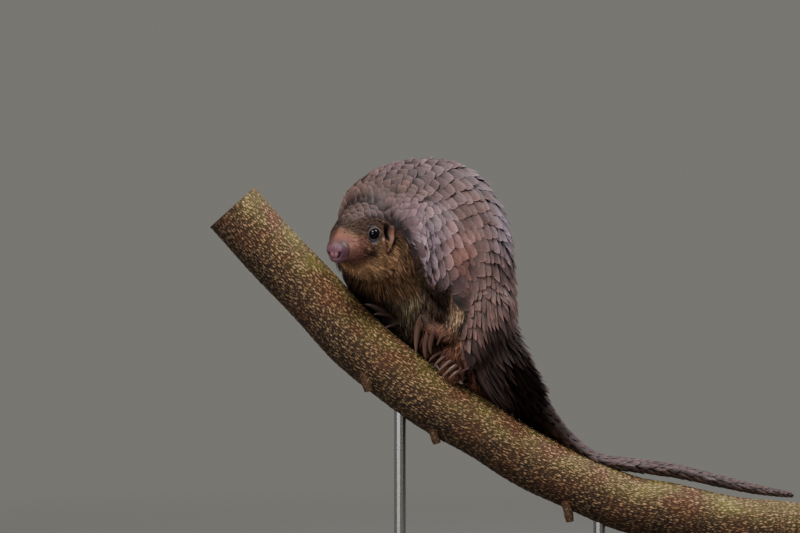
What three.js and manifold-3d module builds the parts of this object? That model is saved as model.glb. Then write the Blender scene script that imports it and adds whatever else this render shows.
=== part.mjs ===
// A tree pangolin climbing hunched along a sloping branch, life size, on a plain display stand.
// Millimetres, +Z up. +X runs along the branch towards the tail, and -Y is the animal's left side.
// The origin is the middle of the stand's underside.
import * as THREE from 'three';
import { mergeVertices } from 'three/addons/utils/BufferGeometryUtils.js';
import Module from 'manifold-3d';

const wasm = await Module();
wasm.setup();

// Driving dimensions
const GAP = 0.3; // between two pieces that meet
const HEAD_YAW = 60; // degrees that the head is turned from -X towards the animal's left
const HEAD_PITCH = 20; // degrees that the nose points down
const NOSE_TIP = [-145.5, -63, 343];
const BODY_SIDES = 20;
const LIMB_SIDES = 9;
const TOE_SIDES = 5;
const BRANCH_SIDES = 13;
const DOMES = { nose: 2.4, tailTip: 5, limbTop: 9, limbFoot: 5, pawFront: 3 }; // depth of rounded ends
const TOE_FULL = 1.35; // a toe's radius for each millimetre of its claw's radius
const CLAW = { bow: 0.22, bowAt: 0.45, inToe: 0.15, taper: [1, 1, 0.86, 0.6, 0.22], flat: 0.8 };
const EYE = { radius: 5.4, back: 46, left: 20.8, up: 3 };
const EAR = { wide: 5.5, deep: 4.2, high: 12.5, back: 67, left: 29.5, up: -3 };
const BASE = { long: 340, deep: 200, thick: 16, corner: 24, bevel: 2 };
const ROD = { radius: 6, collar: 15, collarThick: 5, bevel: 1.5, tops: { front: -80, rear: 120 } };

// The head's sections: distance behind the nose tip, half width, half height above and below the axis
const HEAD = [
  { back: 2.5, wide: 7.6, up: 7.2, down: 7.2 },
  { back: 7, wide: 10.6, up: 9.8, down: 9.8 },
  { back: 14, wide: 12, up: 11, down: 11.5 },
  { back: 24, wide: 16, up: 14.5, down: 16.5 },
  { back: 36, wide: 21.5, up: 20, down: 25 },
  { back: 48, wide: 26, up: 25.5, down: 34 },
  { back: 60, wide: 29, up: 29, down: 42 },
  { back: 72, wide: 32, up: 31, down: 47 },
];

// Neck, trunk and tail: the profile of the back and of the belly as X, Z; the depth Y of the middle;
// half the width; and the degrees that the section is turned towards the animal's left
const TRUNK = [
  { top: [-113, 415], low: [-101, 313], y: 8, wide: 43, turn: 50 },
  { top: [-91, 431], low: [-88, 289], y: 16, wide: 50, turn: 40 },
  { top: [-67, 436], low: [-77, 264], y: 20, wide: 53, turn: 30 },
  { top: [-44, 437], low: [-64, 250], y: 20, wide: 57, turn: 20 },
  { top: [-19, 429.5], low: [-53, 243], y: 19, wide: 58, turn: 12 },
  { top: [5, 411], low: [-43, 241], y: 17, wide: 58, turn: 7 },
  { top: [22, 382], low: [-33, 239], y: 16, wide: 57, turn: 4 },
  { top: [30.5, 347], low: [-25, 240], y: 15, wide: 55, turn: 2 },
  { top: [33, 307], low: [-19, 236], y: 14, wide: 51, turn: 0 },
  { top: [36, 270], low: [-13, 224], y: 14, wide: 45, turn: 0 },
  { top: [49, 239], low: [-2, 207], y: 14, wide: 38, turn: 0 },
  { top: [66, 204], low: [28, 181], y: 14, wide: 34, turn: 0 },
  { top: [80, 178], low: [55, 163], y: 14, wide: 30, turn: 0 },
  { top: [98, 157], low: [86, 145], y: 13, wide: 28, turn: 0 },
  { top: [123, 140], low: [117, 127], y: 13, wide: 26, turn: 0 },
  { top: [161, 135], low: [159, 120], y: 13, wide: 23, turn: 0 },
  { top: [201, 129], low: [199, 114.5], y: 13, wide: 20, turn: 0 },
  { top: [241, 119], low: [239, 106], y: 13, wide: 17, turn: 0 },
  { top: [281, 109], low: [279, 98.5], y: 12, wide: 13, turn: 0 },
  { top: [313, 102], low: [311, 95.5], y: 12, wide: 8, turn: 0 },
];

// Where the body is parted, counted in sections from the nose
const LENGTHS = [
  { name: 'nose', from: 0, to: 1.5, rings: 3, skin: 'nose' },
  { name: 'muzzle', from: 1.5, to: 3.7, rings: 4, skin: 'face' },
  { name: 'head', from: 3.7, to: 7.3, rings: 6, skin: 'face' },
  { name: 'neck', from: 7.3, to: 8.8, rings: 3, skin: 'scales' },
  { name: 'trunk_front', from: 8.8, to: 11.5, rings: 5, skin: 'scales' },
  { name: 'trunk_middle', from: 11.5, to: 14.5, rings: 6, skin: 'scales' },
  { name: 'trunk_rear', from: 14.5, to: 17.5, rings: 6, skin: 'scales' },
  { name: 'tail_base', from: 17.5, to: 20.3, rings: 6, skin: 'scales' },
  { name: 'tail_middle', from: 20.3, to: 24, rings: 5, skin: 'scales' },
  { name: 'tail_end', from: 24, to: 27, rings: 5, skin: 'scales' },
];

// The branch's middle line as X, Z with its radius, from the upper cut end to the lower one
const BRANCH = [
  [-248, 388, 30.5],
  [-202, 337, 30.5],
  [-162, 295, 30.5],
  [-121, 251, 30.5],
  [-79, 217, 30.5],
  [-37, 187, 30],
  [5, 163, 29.5],
  [38, 142, 29.5],
  [65, 127, 29.5],
  [107, 108, 29],
  [151, 90, 29],
  [194, 83, 28.5],
  [255, 70, 28],
  [296, 66, 28],
  [334, 62, 28],
];

// A point by the bark: the X of the branch's middle line, degrees round it from its top towards +Y,
// and millimetres above the bark
function grip(along, round, lift) {
  const i = Math.max(BRANCH.findIndex(([x]) => x > along), 1);
  const [x0, z0, r0] = BRANCH[i - 1];
  const [x1, z1] = BRANCH[i];
  const run = Math.hypot(x1 - x0, z1 - z0);
  const height = (r0 + lift) * Math.cos((round * Math.PI) / 180);
  return [
    along - ((z1 - z0) / run) * height,
    (r0 + lift) * Math.sin((round * Math.PI) / 180),
    z0 + ((z1 - z0) * (along - x0)) / (x1 - x0) + ((x1 - x0) / run) * height,
  ];
}

// Cut twigs on the branch: root and end as X, Y, Z, and radius
const STUBS = [
  { root: [-119, -14, 238], end: [-111, -22, 205], radius: 6 },
  { root: [-52, -10, 182], end: [-43, -16, 152], radius: 5 },
  { root: [84, -12, 106], end: [90, -20, 74], radius: 5 },
];

// Limbs: each section's middle, half thickness across the limb in the XZ plane, and half depth along Y
const LIMBS = {
  upper_arm_left: [
    { at: [-54, -12, 380], thick: 27, deep: 24 },
    { at: [-44, -20, 358], thick: 32, deep: 28 },
    { at: [-35, -26, 334], thick: 31, deep: 25 },
    { at: [-28, -31, 310], thick: 23, deep: 18 },
    { at: [-24, -34, 294], thick: 13, deep: 12 },
  ],
  forearm_left: [
    { at: [-22, -36, 300], thick: 13, deep: 12 },
    { at: [-21, -34, 284], thick: 11, deep: 11 },
    { at: [-24, -30, 268], thick: 9, deep: 10 },
    { at: [-30, -26, 259], thick: 7.5, deep: 9.5 },
  ],
  upper_arm_right: [
    { at: [-107, 36, 396], thick: 24, deep: 20 },
    { at: [-115, 42, 378], thick: 27, deep: 23 },
    { at: [-118, 44, 353], thick: 25, deep: 22 },
    { at: [-123, 42, 331], thick: 19, deep: 17 },
    { at: [-127, 38, 319], thick: 12, deep: 11 },
  ],
  forearm_right: [
    { at: [-125, 38, 321], thick: 16, deep: 13 },
    { at: [-109, 35, 304], thick: 19, deep: 14 },
    { at: [-94, 30, 290], thick: 18, deep: 14 },
    { at: grip(-95, 27, 19), thick: 12, deep: 12 },
  ],
  thigh_left: [
    { at: [5, -12, 304], thick: 25, deep: 22 },
    { at: [4, -21, 286], thick: 28, deep: 25 },
    { at: [1, -27, 266], thick: 25, deep: 22 },
    { at: [-6, -30, 247], thick: 16, deep: 16 },
    { at: [-11, -31, 233], thick: 7, deep: 9 },
  ],
  shank_left: [
    { at: [-12, -26, 262], thick: 12, deep: 12 },
    { at: [-17, -22, 250], thick: 11, deep: 11.5 },
    { at: [-21, -18, 240], thick: 9.5, deep: 11 },
  ],
  thigh_right: [
    { at: [8, 40, 304], thick: 25, deep: 22 },
    { at: [9, 49, 286], thick: 28, deep: 25 },
    { at: [9, 54, 266], thick: 25, deep: 22 },
    { at: [8, 56, 247], thick: 17, deep: 17 },
    { at: [7, 56, 234], thick: 8, deep: 10 },
  ],
  shank_right: [
    { at: [6, 52, 244], thick: 12, deep: 12 },
    { at: [11, 48, 230], thick: 11, deep: 11.5 },
    { at: grip(-3, 50, 22), thick: 9.5, deep: 10.5 },
  ],
};

// Paws: the palm or sole as limb sections, then each toe's root, knuckle, claw tip and claw radius
const PAWS = {
  forepaw_left: {
    sole: [
      { at: [-29, -27, 262], thick: 8.5, deep: 10 },
      { at: [-38, -24, 264], thick: 9.5, deep: 13 },
      { at: [-47, -22, 267], thick: 9, deep: 13 },
      { at: [-52, -21, 271], thick: 6.5, deep: 10 },
    ],
    toes: [
      { root: [-38, -34, 262], knuckle: [-40, -36, 258], tip: [-43, -31, 251], radius: 1.7 },
      { root: [-43, -32, 266], knuckle: [-47, -32, 263], tip: [-49, -25, 242], radius: 2.9 },
      { root: [-47, -26, 267], knuckle: [-52, -26, 263], tip: [-54, -20, 237], radius: 3.3 },
      { root: [-52, -19, 272], knuckle: [-57, -19, 280], tip: [-64, -14, 242], radius: 4.4 },
      { root: [-50, -13, 268], knuckle: [-56, -11, 262], tip: [-60, -9, 247], radius: 1.9 },
    ],
  },
  forepaw_right: {
    sole: [
      { at: grip(-97, 26, 17), thick: 9, deep: 10 },
      { at: grip(-103, 22, 11), thick: 9, deep: 13 },
      { at: grip(-111, 20, 9.5), thick: 8, deep: 14 },
      { at: grip(-117, 20, 8.5), thick: 6, deep: 11 },
    ],
    toes: [
      { root: grip(-106, -4, 9), knuckle: grip(-108, -12, 9), tip: grip(-114, -28, 1.5), radius: 1.7 },
      { root: grip(-112, 4, 10), knuckle: grip(-117, -2, 11), tip: grip(-129, -14, 1.5), radius: 2.5 },
      { root: grip(-114, 20, 10), knuckle: grip(-122, 17, 12), tip: grip(-138, 14, 1.5), radius: 3.8 },
      { root: grip(-112, 36, 10), knuckle: grip(-118, 40, 11), tip: grip(-130, 50, 1.5), radius: 2.7 },
      { root: grip(-106, 44, 9), knuckle: grip(-110, 52, 9), tip: grip(-115, 66, 1.5), radius: 1.8 },
    ],
  },
  hind_foot_left: {
    sole: [
      { at: [-22, -17, 247], thick: 10, deep: 10 },
      { at: [-26, -12, 236], thick: 13, deep: 10.5 },
      { at: [-27, -10, 226], thick: 12.5, deep: 10.5 },
      { at: [-25, -10, 216], thick: 9, deep: 9.5 },
    ],
    toes: [
      { root: [-31, -13, 240], knuckle: [-38, -14, 244], tip: [-51, -15, 234], radius: 2.1 },
      { root: [-25, -16, 239], knuckle: [-30, -19, 242], tip: [-46, -20, 229], radius: 2.4 },
      { root: [-22, -18, 234], knuckle: [-25, -22, 237], tip: [-42, -23, 223], radius: 2.5 },
      { root: [-20, -19, 228], knuckle: [-21, -24, 232], tip: [-38, -26, 218.5], radius: 2.5 },
      { root: [-19, -19, 221], knuckle: [-19, -24, 226], tip: [-31, -28, 217.5], radius: 2.1 },
    ],
  },
  hind_foot_right: {
    sole: [
      { at: grip(-5, 48, 17), thick: 9, deep: 10 },
      { at: grip(-10, 42, 11), thick: 9.5, deep: 11.5 },
      { at: grip(-19, 38, 9.5), thick: 8.5, deep: 12 },
      { at: grip(-28, 36, 9), thick: 6.5, deep: 11 },
    ],
    toes: [
      { root: grip(-24, 16, 10), knuckle: grip(-29, 10, 11), tip: grip(-41, 2, 1.5), radius: 1.9 },
      { root: grip(-27, 26, 10), knuckle: grip(-34, 22, 12), tip: grip(-48, 18, 1.5), radius: 2.1 },
      { root: grip(-28, 37, 10), knuckle: grip(-36, 36, 12), tip: grip(-51, 35, 1.5), radius: 2.2 },
      { root: grip(-27, 48, 10), knuckle: grip(-34, 51, 12), tip: grip(-47, 54, 1.5), radius: 2.2 },
      { root: grip(-24, 58, 10), knuckle: grip(-29, 63, 11), tip: grip(-40, 70, 1.5), radius: 1.9 },
    ],
  },
};

// Colours and finishes
const LOOKS = {
  scales: new THREE.MeshStandardMaterial({ color: '#7a6a66', roughness: 0.55, metalness: 0 }),
  face: new THREE.MeshStandardMaterial({ color: '#8b5f4a', roughness: 0.8, metalness: 0 }),
  nose: new THREE.MeshStandardMaterial({ color: '#9c6a75', roughness: 0.5, metalness: 0 }),
  eye: new THREE.MeshStandardMaterial({ color: '#0b0b10', roughness: 0.08, metalness: 0 }),
  ear: new THREE.MeshStandardMaterial({ color: '#a27a6c', roughness: 0.7, metalness: 0 }),
  paw: new THREE.MeshStandardMaterial({ color: '#7d5647', roughness: 0.75, metalness: 0 }),
  claw: new THREE.MeshStandardMaterial({ color: '#8b6a62', roughness: 0.4, metalness: 0 }),
  bark: new THREE.MeshStandardMaterial({ color: '#5a4229', roughness: 0.9, metalness: 0 }),
  wood: new THREE.MeshStandardMaterial({ color: '#3a2a20', roughness: 0.45, metalness: 0 }),
  steel: new THREE.MeshStandardMaterial({ color: '#b4b6b8', roughness: 0.3, metalness: 1 }),
};

const vec = (xyz) => new THREE.Vector3(...xyz);
const radians = THREE.MathUtils.degToRad;

// Directions of the head: forward along the nose, up out of the crown, and to its own left
const yaw = radians(HEAD_YAW);
const pitch = radians(HEAD_PITCH);
const headForward = vec([
  -Math.cos(yaw) * Math.cos(pitch),
  -Math.sin(yaw) * Math.cos(pitch),
  -Math.sin(pitch),
]);
const headLeft = vec([Math.sin(yaw), -Math.cos(yaw), 0]);
const headUp = headLeft.clone().cross(headForward).negate();

// A point of the head: millimetres behind the nose tip, to the left, and up
function onHead(back, left, up) {
  return vec(NOSE_TIP)
    .addScaledVector(headForward, -back)
    .addScaledVector(headLeft, left)
    .addScaledVector(headUp, up);
}

// A section is an ellipse: its middle, and its half axes to the left and up as vectors
function headSection({ back, wide, up, down }) {
  return {
    at: onHead(back, 0, (up - down) / 2),
    left: headLeft.clone().multiplyScalar(wide),
    up: headUp.clone().multiplyScalar((up + down) / 2),
  };
}

function trunkSection({ top, low, y, wide, turn }) {
  const angle = radians(turn);
  const upper = vec([top[0], y, top[1]]);
  const lower = vec([low[0], y, low[1]]);
  return {
    at: upper.clone().add(lower).multiplyScalar(0.5),
    left: vec([Math.sin(angle), -Math.cos(angle), 0]).multiplyScalar(wide),
    up: upper.clone().sub(lower).multiplyScalar(0.5),
  };
}

// Sections square to a line of points, each with a half thickness and a half depth
function squareSections(points) {
  return points.map(({ at, thick, deep }, i) => {
    const before = vec(points[Math.max(i - 1, 0)].at);
    const after = vec(points[Math.min(i + 1, points.length - 1)].at);
    const along = after.sub(before).normalize();
    const side = vec([0, -1, 0]).addScaledVector(along, along.y).normalize();
    const up = side.clone().cross(along).normalize();
    return {
      at: vec(at),
      left: side.multiplyScalar(deep),
      up: up.multiplyScalar(thick),
    };
  });
}

// A smooth reader of the sections: give it a place counted in sections
function reader(sections) {
  const curves = ['at', 'left', 'up'].map(
    (key) => new THREE.CatmullRomCurve3(sections.map((s) => s[key]), false, 'catmullrom', 0.5),
  );
  const last = sections.length - 1;
  return (place) => curves.map((curve) => curve.getPoint(THREE.MathUtils.clamp(place / last, 0, 1)));
}

// A closed skin over sections from one place to another, grown outwards by so many millimetres.
// A rounded end is drawn in over two more rings like half a ball.
function loft(sections, { from, to, rings, sides, grow = 0, roundFrom = 0, roundTo = 0 }) {
  const read = reader(sections);
  const loops = [];
  const addLoop = (place, shrink, forward) => {
    const [at, left, up] = read(place);
    const wide = left.length();
    const high = up.length();
    left.multiplyScalar((shrink * (wide + grow)) / wide);
    up.multiplyScalar((shrink * (high + grow)) / high);
    at.add(forward);
    const loop = [];
    for (let i = 0; i < sides; i += 1) {
      const angle = (2 * Math.PI * i) / sides;
      loop.push(
        at.clone().addScaledVector(left, Math.cos(angle)).addScaledVector(up, Math.sin(angle)),
      );
    }
    loops.push(loop);
  };
  const directionAt = (place) => {
    const step = 0.02;
    const ahead = read(Math.min(place + step, sections.length - 1))[0];
    return ahead.sub(read(Math.max(place - step, 0))[0]).normalize();
  };
  const start = directionAt(from).multiplyScalar(-1);
  const finish = directionAt(to);
  const DOME = [[0.35, 0.94], [0.75, 0.66]];
  for (const [shrink, ahead] of roundFrom ? DOME : []) {
    addLoop(from, shrink, start.clone().multiplyScalar(ahead * roundFrom + grow));
  }
  for (let i = 0; i <= rings; i += 1) {
    addLoop(from + ((to - from) * i) / rings, 1, new THREE.Vector3());
  }
  for (const [shrink, ahead] of roundTo ? [...DOME].reverse() : []) {
    addLoop(to, shrink, finish.clone().multiplyScalar(ahead * roundTo + grow));
  }
  return closedSkin(loops);
}

// Joins a row of loops with triangles, and closes both ends with a fan
function closedSkin(loops) {
  const sides = loops[0].length;
  const points = loops.flat();
  const triangles = [];
  const middle = (loop) => {
    const sum = loop.reduce((total, p) => total.add(p), new THREE.Vector3());
    points.push(sum.multiplyScalar(1 / sides));
    return points.length - 1;
  };
  const first = middle(loops[0]);
  const final = middle(loops[loops.length - 1]);
  const end = (loops.length - 1) * sides;
  for (let i = 0; i < sides; i += 1) {
    const next = (i + 1) % sides;
    triangles.push(first, i, next, final, end + next, end + i);
    for (let row = 0; row < end; row += sides) {
      triangles.push(row + i, row + sides + i, row + next);
      triangles.push(row + next, row + sides + i, row + sides + next);
    }
  }
  const geometry = new THREE.BufferGeometry();
  const flat = points.flatMap((p) => [p.x, p.y, p.z]);
  geometry.setAttribute('position', new THREE.Float32BufferAttribute(flat, 3));
  geometry.setIndex(triangles);
  return geometry;
}

// A solid for joining and cutting, made from a closed geometry; one that is inside out is turned
function solid(geometry) {
  const bare = geometry.clone();
  bare.deleteAttribute('normal');
  bare.deleteAttribute('uv');
  const merged = mergeVertices(bare, 1e-3);
  const make = (triVerts) => new wasm.Manifold(
    new wasm.Mesh({
      numProp: 3,
      vertProperties: new Float32Array(merged.attributes.position.array),
      triVerts,
    }),
  );
  const corners = new Uint32Array(merged.index.array);
  const made = make(corners);
  if (made.volume() > 0) return made;
  for (let i = 0; i < corners.length; i += 3) {
    [corners[i], corners[i + 1]] = [corners[i + 1], corners[i]];
  }
  return make(corners);
}

// The largest single body of a cut solid
function mainBody(cut) {
  const bodies = cut.decompose();
  return bodies.reduce((best, body) => (body.volume() > best.volume() ? body : best));
}

const model = new THREE.Group();

function addNode(name, cut, look) {
  if (cut.isEmpty()) throw new Error(`nothing is left of ${name}`);
  const { vertProperties, triVerts, numProp } = mainBody(cut).getMesh();
  const places = [];
  for (let i = 0; i < vertProperties.length; i += numProp) {
    places.push(vertProperties[i], vertProperties[i + 1], vertProperties[i + 2]);
  }
  const geometry = new THREE.BufferGeometry();
  geometry.setAttribute('position', new THREE.Float32BufferAttribute(places, 3));
  geometry.setIndex([...triVerts]);
  geometry.computeVertexNormals();
  const mesh = new THREE.Mesh(geometry, LOOKS[look]);
  mesh.name = name;
  model.add(mesh);
}

// Perch: the branch with its cut twigs
const branchSections = squareSections(
  BRANCH.map(([x, z, radius]) => ({ at: [x, 0, z], thick: radius, deep: radius })),
);

function branchSolid(grow) {
  return solid(
    loft(branchSections, {
      from: 0,
      to: BRANCH.length - 1,
      rings: BRANCH.length - 1,
      sides: BRANCH_SIDES,
      grow,
    }),
  );
}

function stub({ root, end, radius }) {
  const length = vec(end).sub(vec(root)).length();
  const twig = new THREE.CylinderGeometry(radius * 0.8, radius * 1.2, length, 7);
  twig.translate(0, length / 2, 0);
  const turn = new THREE.Quaternion().setFromUnitVectors(
    vec([0, 1, 0]),
    vec(end).sub(vec(root)).normalize(),
  );
  twig.applyQuaternion(turn);
  twig.translate(...root);
  return solid(twig);
}

const branchRoom = branchSolid(GAP);
addNode('perch_branch', STUBS.reduce((branch, s) => branch.add(stub(s)), branchSolid(0)), 'bark');

// Stand: a flat base with two rods that end just under the branch
function standBase() {
  const { long, deep, thick, corner, bevel } = BASE;
  const x = long / 2 - bevel;
  const y = deep / 2 - bevel;
  const outline = new THREE.Shape();
  outline.moveTo(-x + corner, -y);
  outline.lineTo(x - corner, -y);
  outline.absarc(x - corner, -y + corner, corner, -Math.PI / 2, 0);
  outline.lineTo(x, y - corner);
  outline.absarc(x - corner, y - corner, corner, 0, Math.PI / 2);
  outline.lineTo(-x + corner, y);
  outline.absarc(-x + corner, y - corner, corner, Math.PI / 2, Math.PI);
  outline.lineTo(-x, -y + corner);
  outline.absarc(-x + corner, -y + corner, corner, Math.PI, 1.5 * Math.PI);
  const plate = new THREE.ExtrudeGeometry(outline, {
    depth: thick - 2 * bevel,
    bevelThickness: bevel,
    bevelSize: bevel,
    bevelSegments: 1,
    curveSegments: 3,
  });
  plate.translate(0, 0, bevel);
  return solid(plate);
}

function standRod(x) {
  const { radius, collar, collarThick, bevel } = ROD;
  const reach = BRANCH[0][1];
  const profile = [
    [0, 0],
    [collar, 0],
    [collar, collarThick - bevel],
    [collar - bevel, collarThick],
    [radius, collarThick],
    [radius, reach],
    [0, reach],
  ].map(([r, z]) => new THREE.Vector2(r, z));
  const rod = new THREE.LatheGeometry(profile, 12);
  rod.rotateX(Math.PI / 2);
  rod.translate(x, 0, BASE.thick + GAP);
  const under = new THREE.BoxGeometry(4 * collar, 4 * collar, reach);
  under.translate(x, 0, BASE.thick + branchHeight(x) - reach / 2);
  return solid(rod).intersect(solid(under)).subtract(branchRoom);
}

// How far the branch's middle line lies above the base at X
function branchHeight(x) {
  const i = BRANCH.findIndex(([next]) => next > x);
  const [x0, z0] = BRANCH[i - 1];
  const [x1, z1] = BRANCH[i];
  return z0 + ((z1 - z0) * (x - x0)) / (x1 - x0) - BASE.thick;
}

addNode('stand_base', standBase(), 'wood');
for (const [name, x] of Object.entries(ROD.tops)) {
  addNode(`stand_rod_${name}`, standRod(x), 'steel');
}

// Body, from the nose to the tip of the tail
const bodySections = [...HEAD.map(headSection), ...TRUNK.map(trunkSection)];
const lastSection = bodySections.length - 1;
const readBody = reader(bodySections);

// Eyes, set into the head
function eyeBall(side, grow) {
  const ball = new THREE.SphereGeometry(EYE.radius + grow, 10, 6);
  ball.translate(...onHead(EYE.back, EYE.left * side, EYE.up));
  return solid(ball);
}

const eyeRooms = eyeBall(1, GAP).add(eyeBall(-1, GAP));
addNode('eye_left', eyeBall(1, 0), 'eye');
addNode('eye_right', eyeBall(-1, 0), 'eye');

// Half of GAP at a cut, counted in sections, where the sections lie closest together
function halfGap(place) {
  const step = 0.05;
  const rims = [place + step, place - step].map((at) => {
    const [middle, left, up] = readBody(at);
    return [left, up].flatMap((axis) => [middle.clone().add(axis), middle.clone().sub(axis)]);
  });
  return (GAP * step) / Math.min(...rims[0].map((point, i) => point.distanceTo(rims[1][i])));
}

// Each length is cut back to the one before it
let roomBefore = eyeRooms;
let bodyRoom = eyeRooms;
for (const { name, from, to, rings, skin } of LENGTHS) {
  const shape = {
    rings,
    sides: BODY_SIDES,
    roundFrom: from === 0 ? DOMES.nose : 0,
    roundTo: to === lastSection ? DOMES.tailTip : 0,
  };
  const start = from === 0 ? from : from + halfGap(from);
  const finish = to === lastSection ? to : to - halfGap(to);
  const length = (range) => solid(loft(bodySections, { ...shape, ...range }));
  const piece = length({ from: start, to: finish });
  addNode(name, piece.subtract(roomBefore).subtract(eyeRooms).subtract(branchRoom), skin);
  roomBefore = length({ from: start, to: finish, grow: GAP });
  bodyRoom = bodyRoom.add(length({ from, to, grow: GAP }));
}

// Every later piece is cut back to the ones before it
let taken = bodyRoom.add(branchRoom);

function addCutBack(name, piece, room, look) {
  addNode(name, piece.subtract(taken), look);
  taken = taken.add(room);
}

// Ears: low flaps behind the eyes
function earFlap(side, grow) {
  const { wide, deep, high, back, left, up } = EAR;
  const flap = new THREE.SphereGeometry(1, 10, 6);
  flap.scale(wide + grow, deep + grow, high + grow);
  flap.applyMatrix4(new THREE.Matrix4().makeBasis(headForward, headLeft, headUp));
  flap.translate(...onHead(back, left * side, up));
  return solid(flap);
}

addCutBack('ear_left', earFlap(1, 0), earFlap(1, GAP), 'ear');
addCutBack('ear_right', earFlap(-1, 0), earFlap(-1, GAP), 'ear');

// Limbs
function limbSolid(name, grow) {
  const sections = squareSections(LIMBS[name]);
  const last = sections.length - 1;
  return solid(
    loft(sections, {
      from: 0,
      to: last,
      rings: last + 1,
      sides: LIMB_SIDES,
      grow,
      roundFrom: DOMES.limbTop,
      roundTo: DOMES.limbFoot,
    }),
  );
}

for (const name of Object.keys(LIMBS)) {
  const look = /arm_|thigh/.test(name) && !name.startsWith('forearm') ? 'scales' : 'paw';
  addCutBack(name, limbSolid(name, 0), limbSolid(name, GAP), look);
}

// A toe is a short tube from its root to its knuckle; a claw bows from the knuckle to its tip
function toeSolid({ root, knuckle, radius }, grow) {
  const size = radius * TOE_FULL;
  const sections = squareSections([
    { at: root, thick: size, deep: size },
    { at: vec(root).lerp(vec(knuckle), 0.5).toArray(), thick: size, deep: size },
    { at: knuckle, thick: size * 0.8, deep: size * 0.8 },
  ]);
  return solid(
    loft(sections, { from: 0, to: 2, rings: 2, sides: TOE_SIDES, grow }),
  );
}

function clawSolid({ root, knuckle, tip, radius }, grow) {
  const start = vec(knuckle).lerp(vec(root), CLAW.inToe);
  const reach = vec(tip).sub(start);
  const bow = vec(knuckle).sub(vec(root)).normalize().multiplyScalar(reach.length() * CLAW.bow);
  const middle = start.clone().addScaledVector(reach, CLAW.bowAt).add(bow);
  const line = new THREE.QuadraticBezierCurve3(start, middle, vec(tip));
  const points = line.getPoints(4).map((p, i) => {
    const size = radius * CLAW.taper[i];
    return { at: p.toArray(), thick: size, deep: size * CLAW.flat };
  });
  return solid(
    loft(squareSections(points), { from: 0, to: 4, rings: 3, sides: TOE_SIDES, grow }),
  );
}

for (const [name, { sole, toes }] of Object.entries(PAWS)) {
  const sections = squareSections(sole);
  const last = sections.length - 1;
  const foot = (grow) => {
    const palm = loft(sections, {
      from: 0,
      to: last,
      rings: last,
      sides: LIMB_SIDES,
      grow,
      roundTo: DOMES.pawFront,
    });
    return toes.reduce((whole, toe) => whole.add(toeSolid(toe, grow)), solid(palm));
  };
  addCutBack(name, foot(0), foot(GAP), 'paw');
  const claws = name.replace(/_foot|paw/, '_claw');
  toes.forEach((toe, i) => {
    addCutBack(`${claws}_${i + 1}`, clawSolid(toe, 0), clawSolid(toe, GAP), 'claw');
  });
}

export default model;
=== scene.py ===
# %% [markdown]
# # A tree pangolin on a cut branch
# This lesson dresses a still, life-size museum model. The CAD frame already holds its true outline as plain
# solids. Here one skin takes the place of the solids of flesh, and scales, fur, claws and bark are laid over
# it as real mesh. Every surface is a function of two parameters, worked out with numpy as whole arrays.

import bpy
import numpy as np
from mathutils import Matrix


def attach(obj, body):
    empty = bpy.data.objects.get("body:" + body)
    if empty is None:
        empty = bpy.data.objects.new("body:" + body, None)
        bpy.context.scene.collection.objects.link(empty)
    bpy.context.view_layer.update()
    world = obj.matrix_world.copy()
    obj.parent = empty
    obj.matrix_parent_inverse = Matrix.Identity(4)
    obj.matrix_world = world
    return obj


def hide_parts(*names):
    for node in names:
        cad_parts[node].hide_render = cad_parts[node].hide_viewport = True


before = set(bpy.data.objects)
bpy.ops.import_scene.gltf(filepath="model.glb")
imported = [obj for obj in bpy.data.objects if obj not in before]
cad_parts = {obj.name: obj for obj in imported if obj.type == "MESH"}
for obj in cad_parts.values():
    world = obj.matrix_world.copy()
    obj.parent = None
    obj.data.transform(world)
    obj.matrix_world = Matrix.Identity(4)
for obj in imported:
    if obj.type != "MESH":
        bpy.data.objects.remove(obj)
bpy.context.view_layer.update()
MM = 0.001
dice = np.random.default_rng(12)

# %% [markdown]
# ## The sections of the body
# The animal is a row of ellipses from its nose to the tip of its tail. The head's ellipses stand square to a
# line that is turned to the animal's left and tipped down. The others follow the outline of back and belly.
# They are the sections that the CAD solids have too, so the skin can lie just inside those.

# %% Directions of the head
HEAD_YAW, HEAD_PITCH = np.radians([60, 20])
NOSE_TIP = np.array([-145.5, -63, 343]) * MM
FORWARD = -np.array([
    np.cos(HEAD_YAW) * np.cos(HEAD_PITCH),
    np.sin(HEAD_YAW) * np.cos(HEAD_PITCH),
    np.sin(HEAD_PITCH),
])
LEFT = np.array([np.sin(HEAD_YAW), -np.cos(HEAD_YAW), 0])
UP = np.cross(FORWARD, LEFT)
print("the head looks along", FORWARD.round(2))


def on_head(back, left, up):
    """The nose tip, less so many mm of forward, plus so many of left and of up."""
    back, left, up = (np.asarray(v, float)[..., None] * MM for v in (back, left, up))
    return NOSE_TIP - back * FORWARD + left * LEFT + up * UP


def in_head(points):
    """The other way round: how many mm a point lies behind the nose tip, to the left and up."""
    from_nose = (points - NOSE_TIP) / MM
    return -from_nose @ FORWARD, from_nose @ LEFT, from_nose @ UP


# %% Sections of head, trunk and tail
# Head: mm behind the nose tip, half width, half height above and below the line.
HEAD = np.array([
    (2.5, 7.6, 7.2, 7.2), (7, 10.6, 9.8, 9.8), (14, 12, 11, 11.5), (24, 16, 14.5, 16.5),
    (36, 21.5, 20, 25), (48, 26, 25.5, 34), (60, 29, 29, 42), (72, 32, 31, 47),
])
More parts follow.
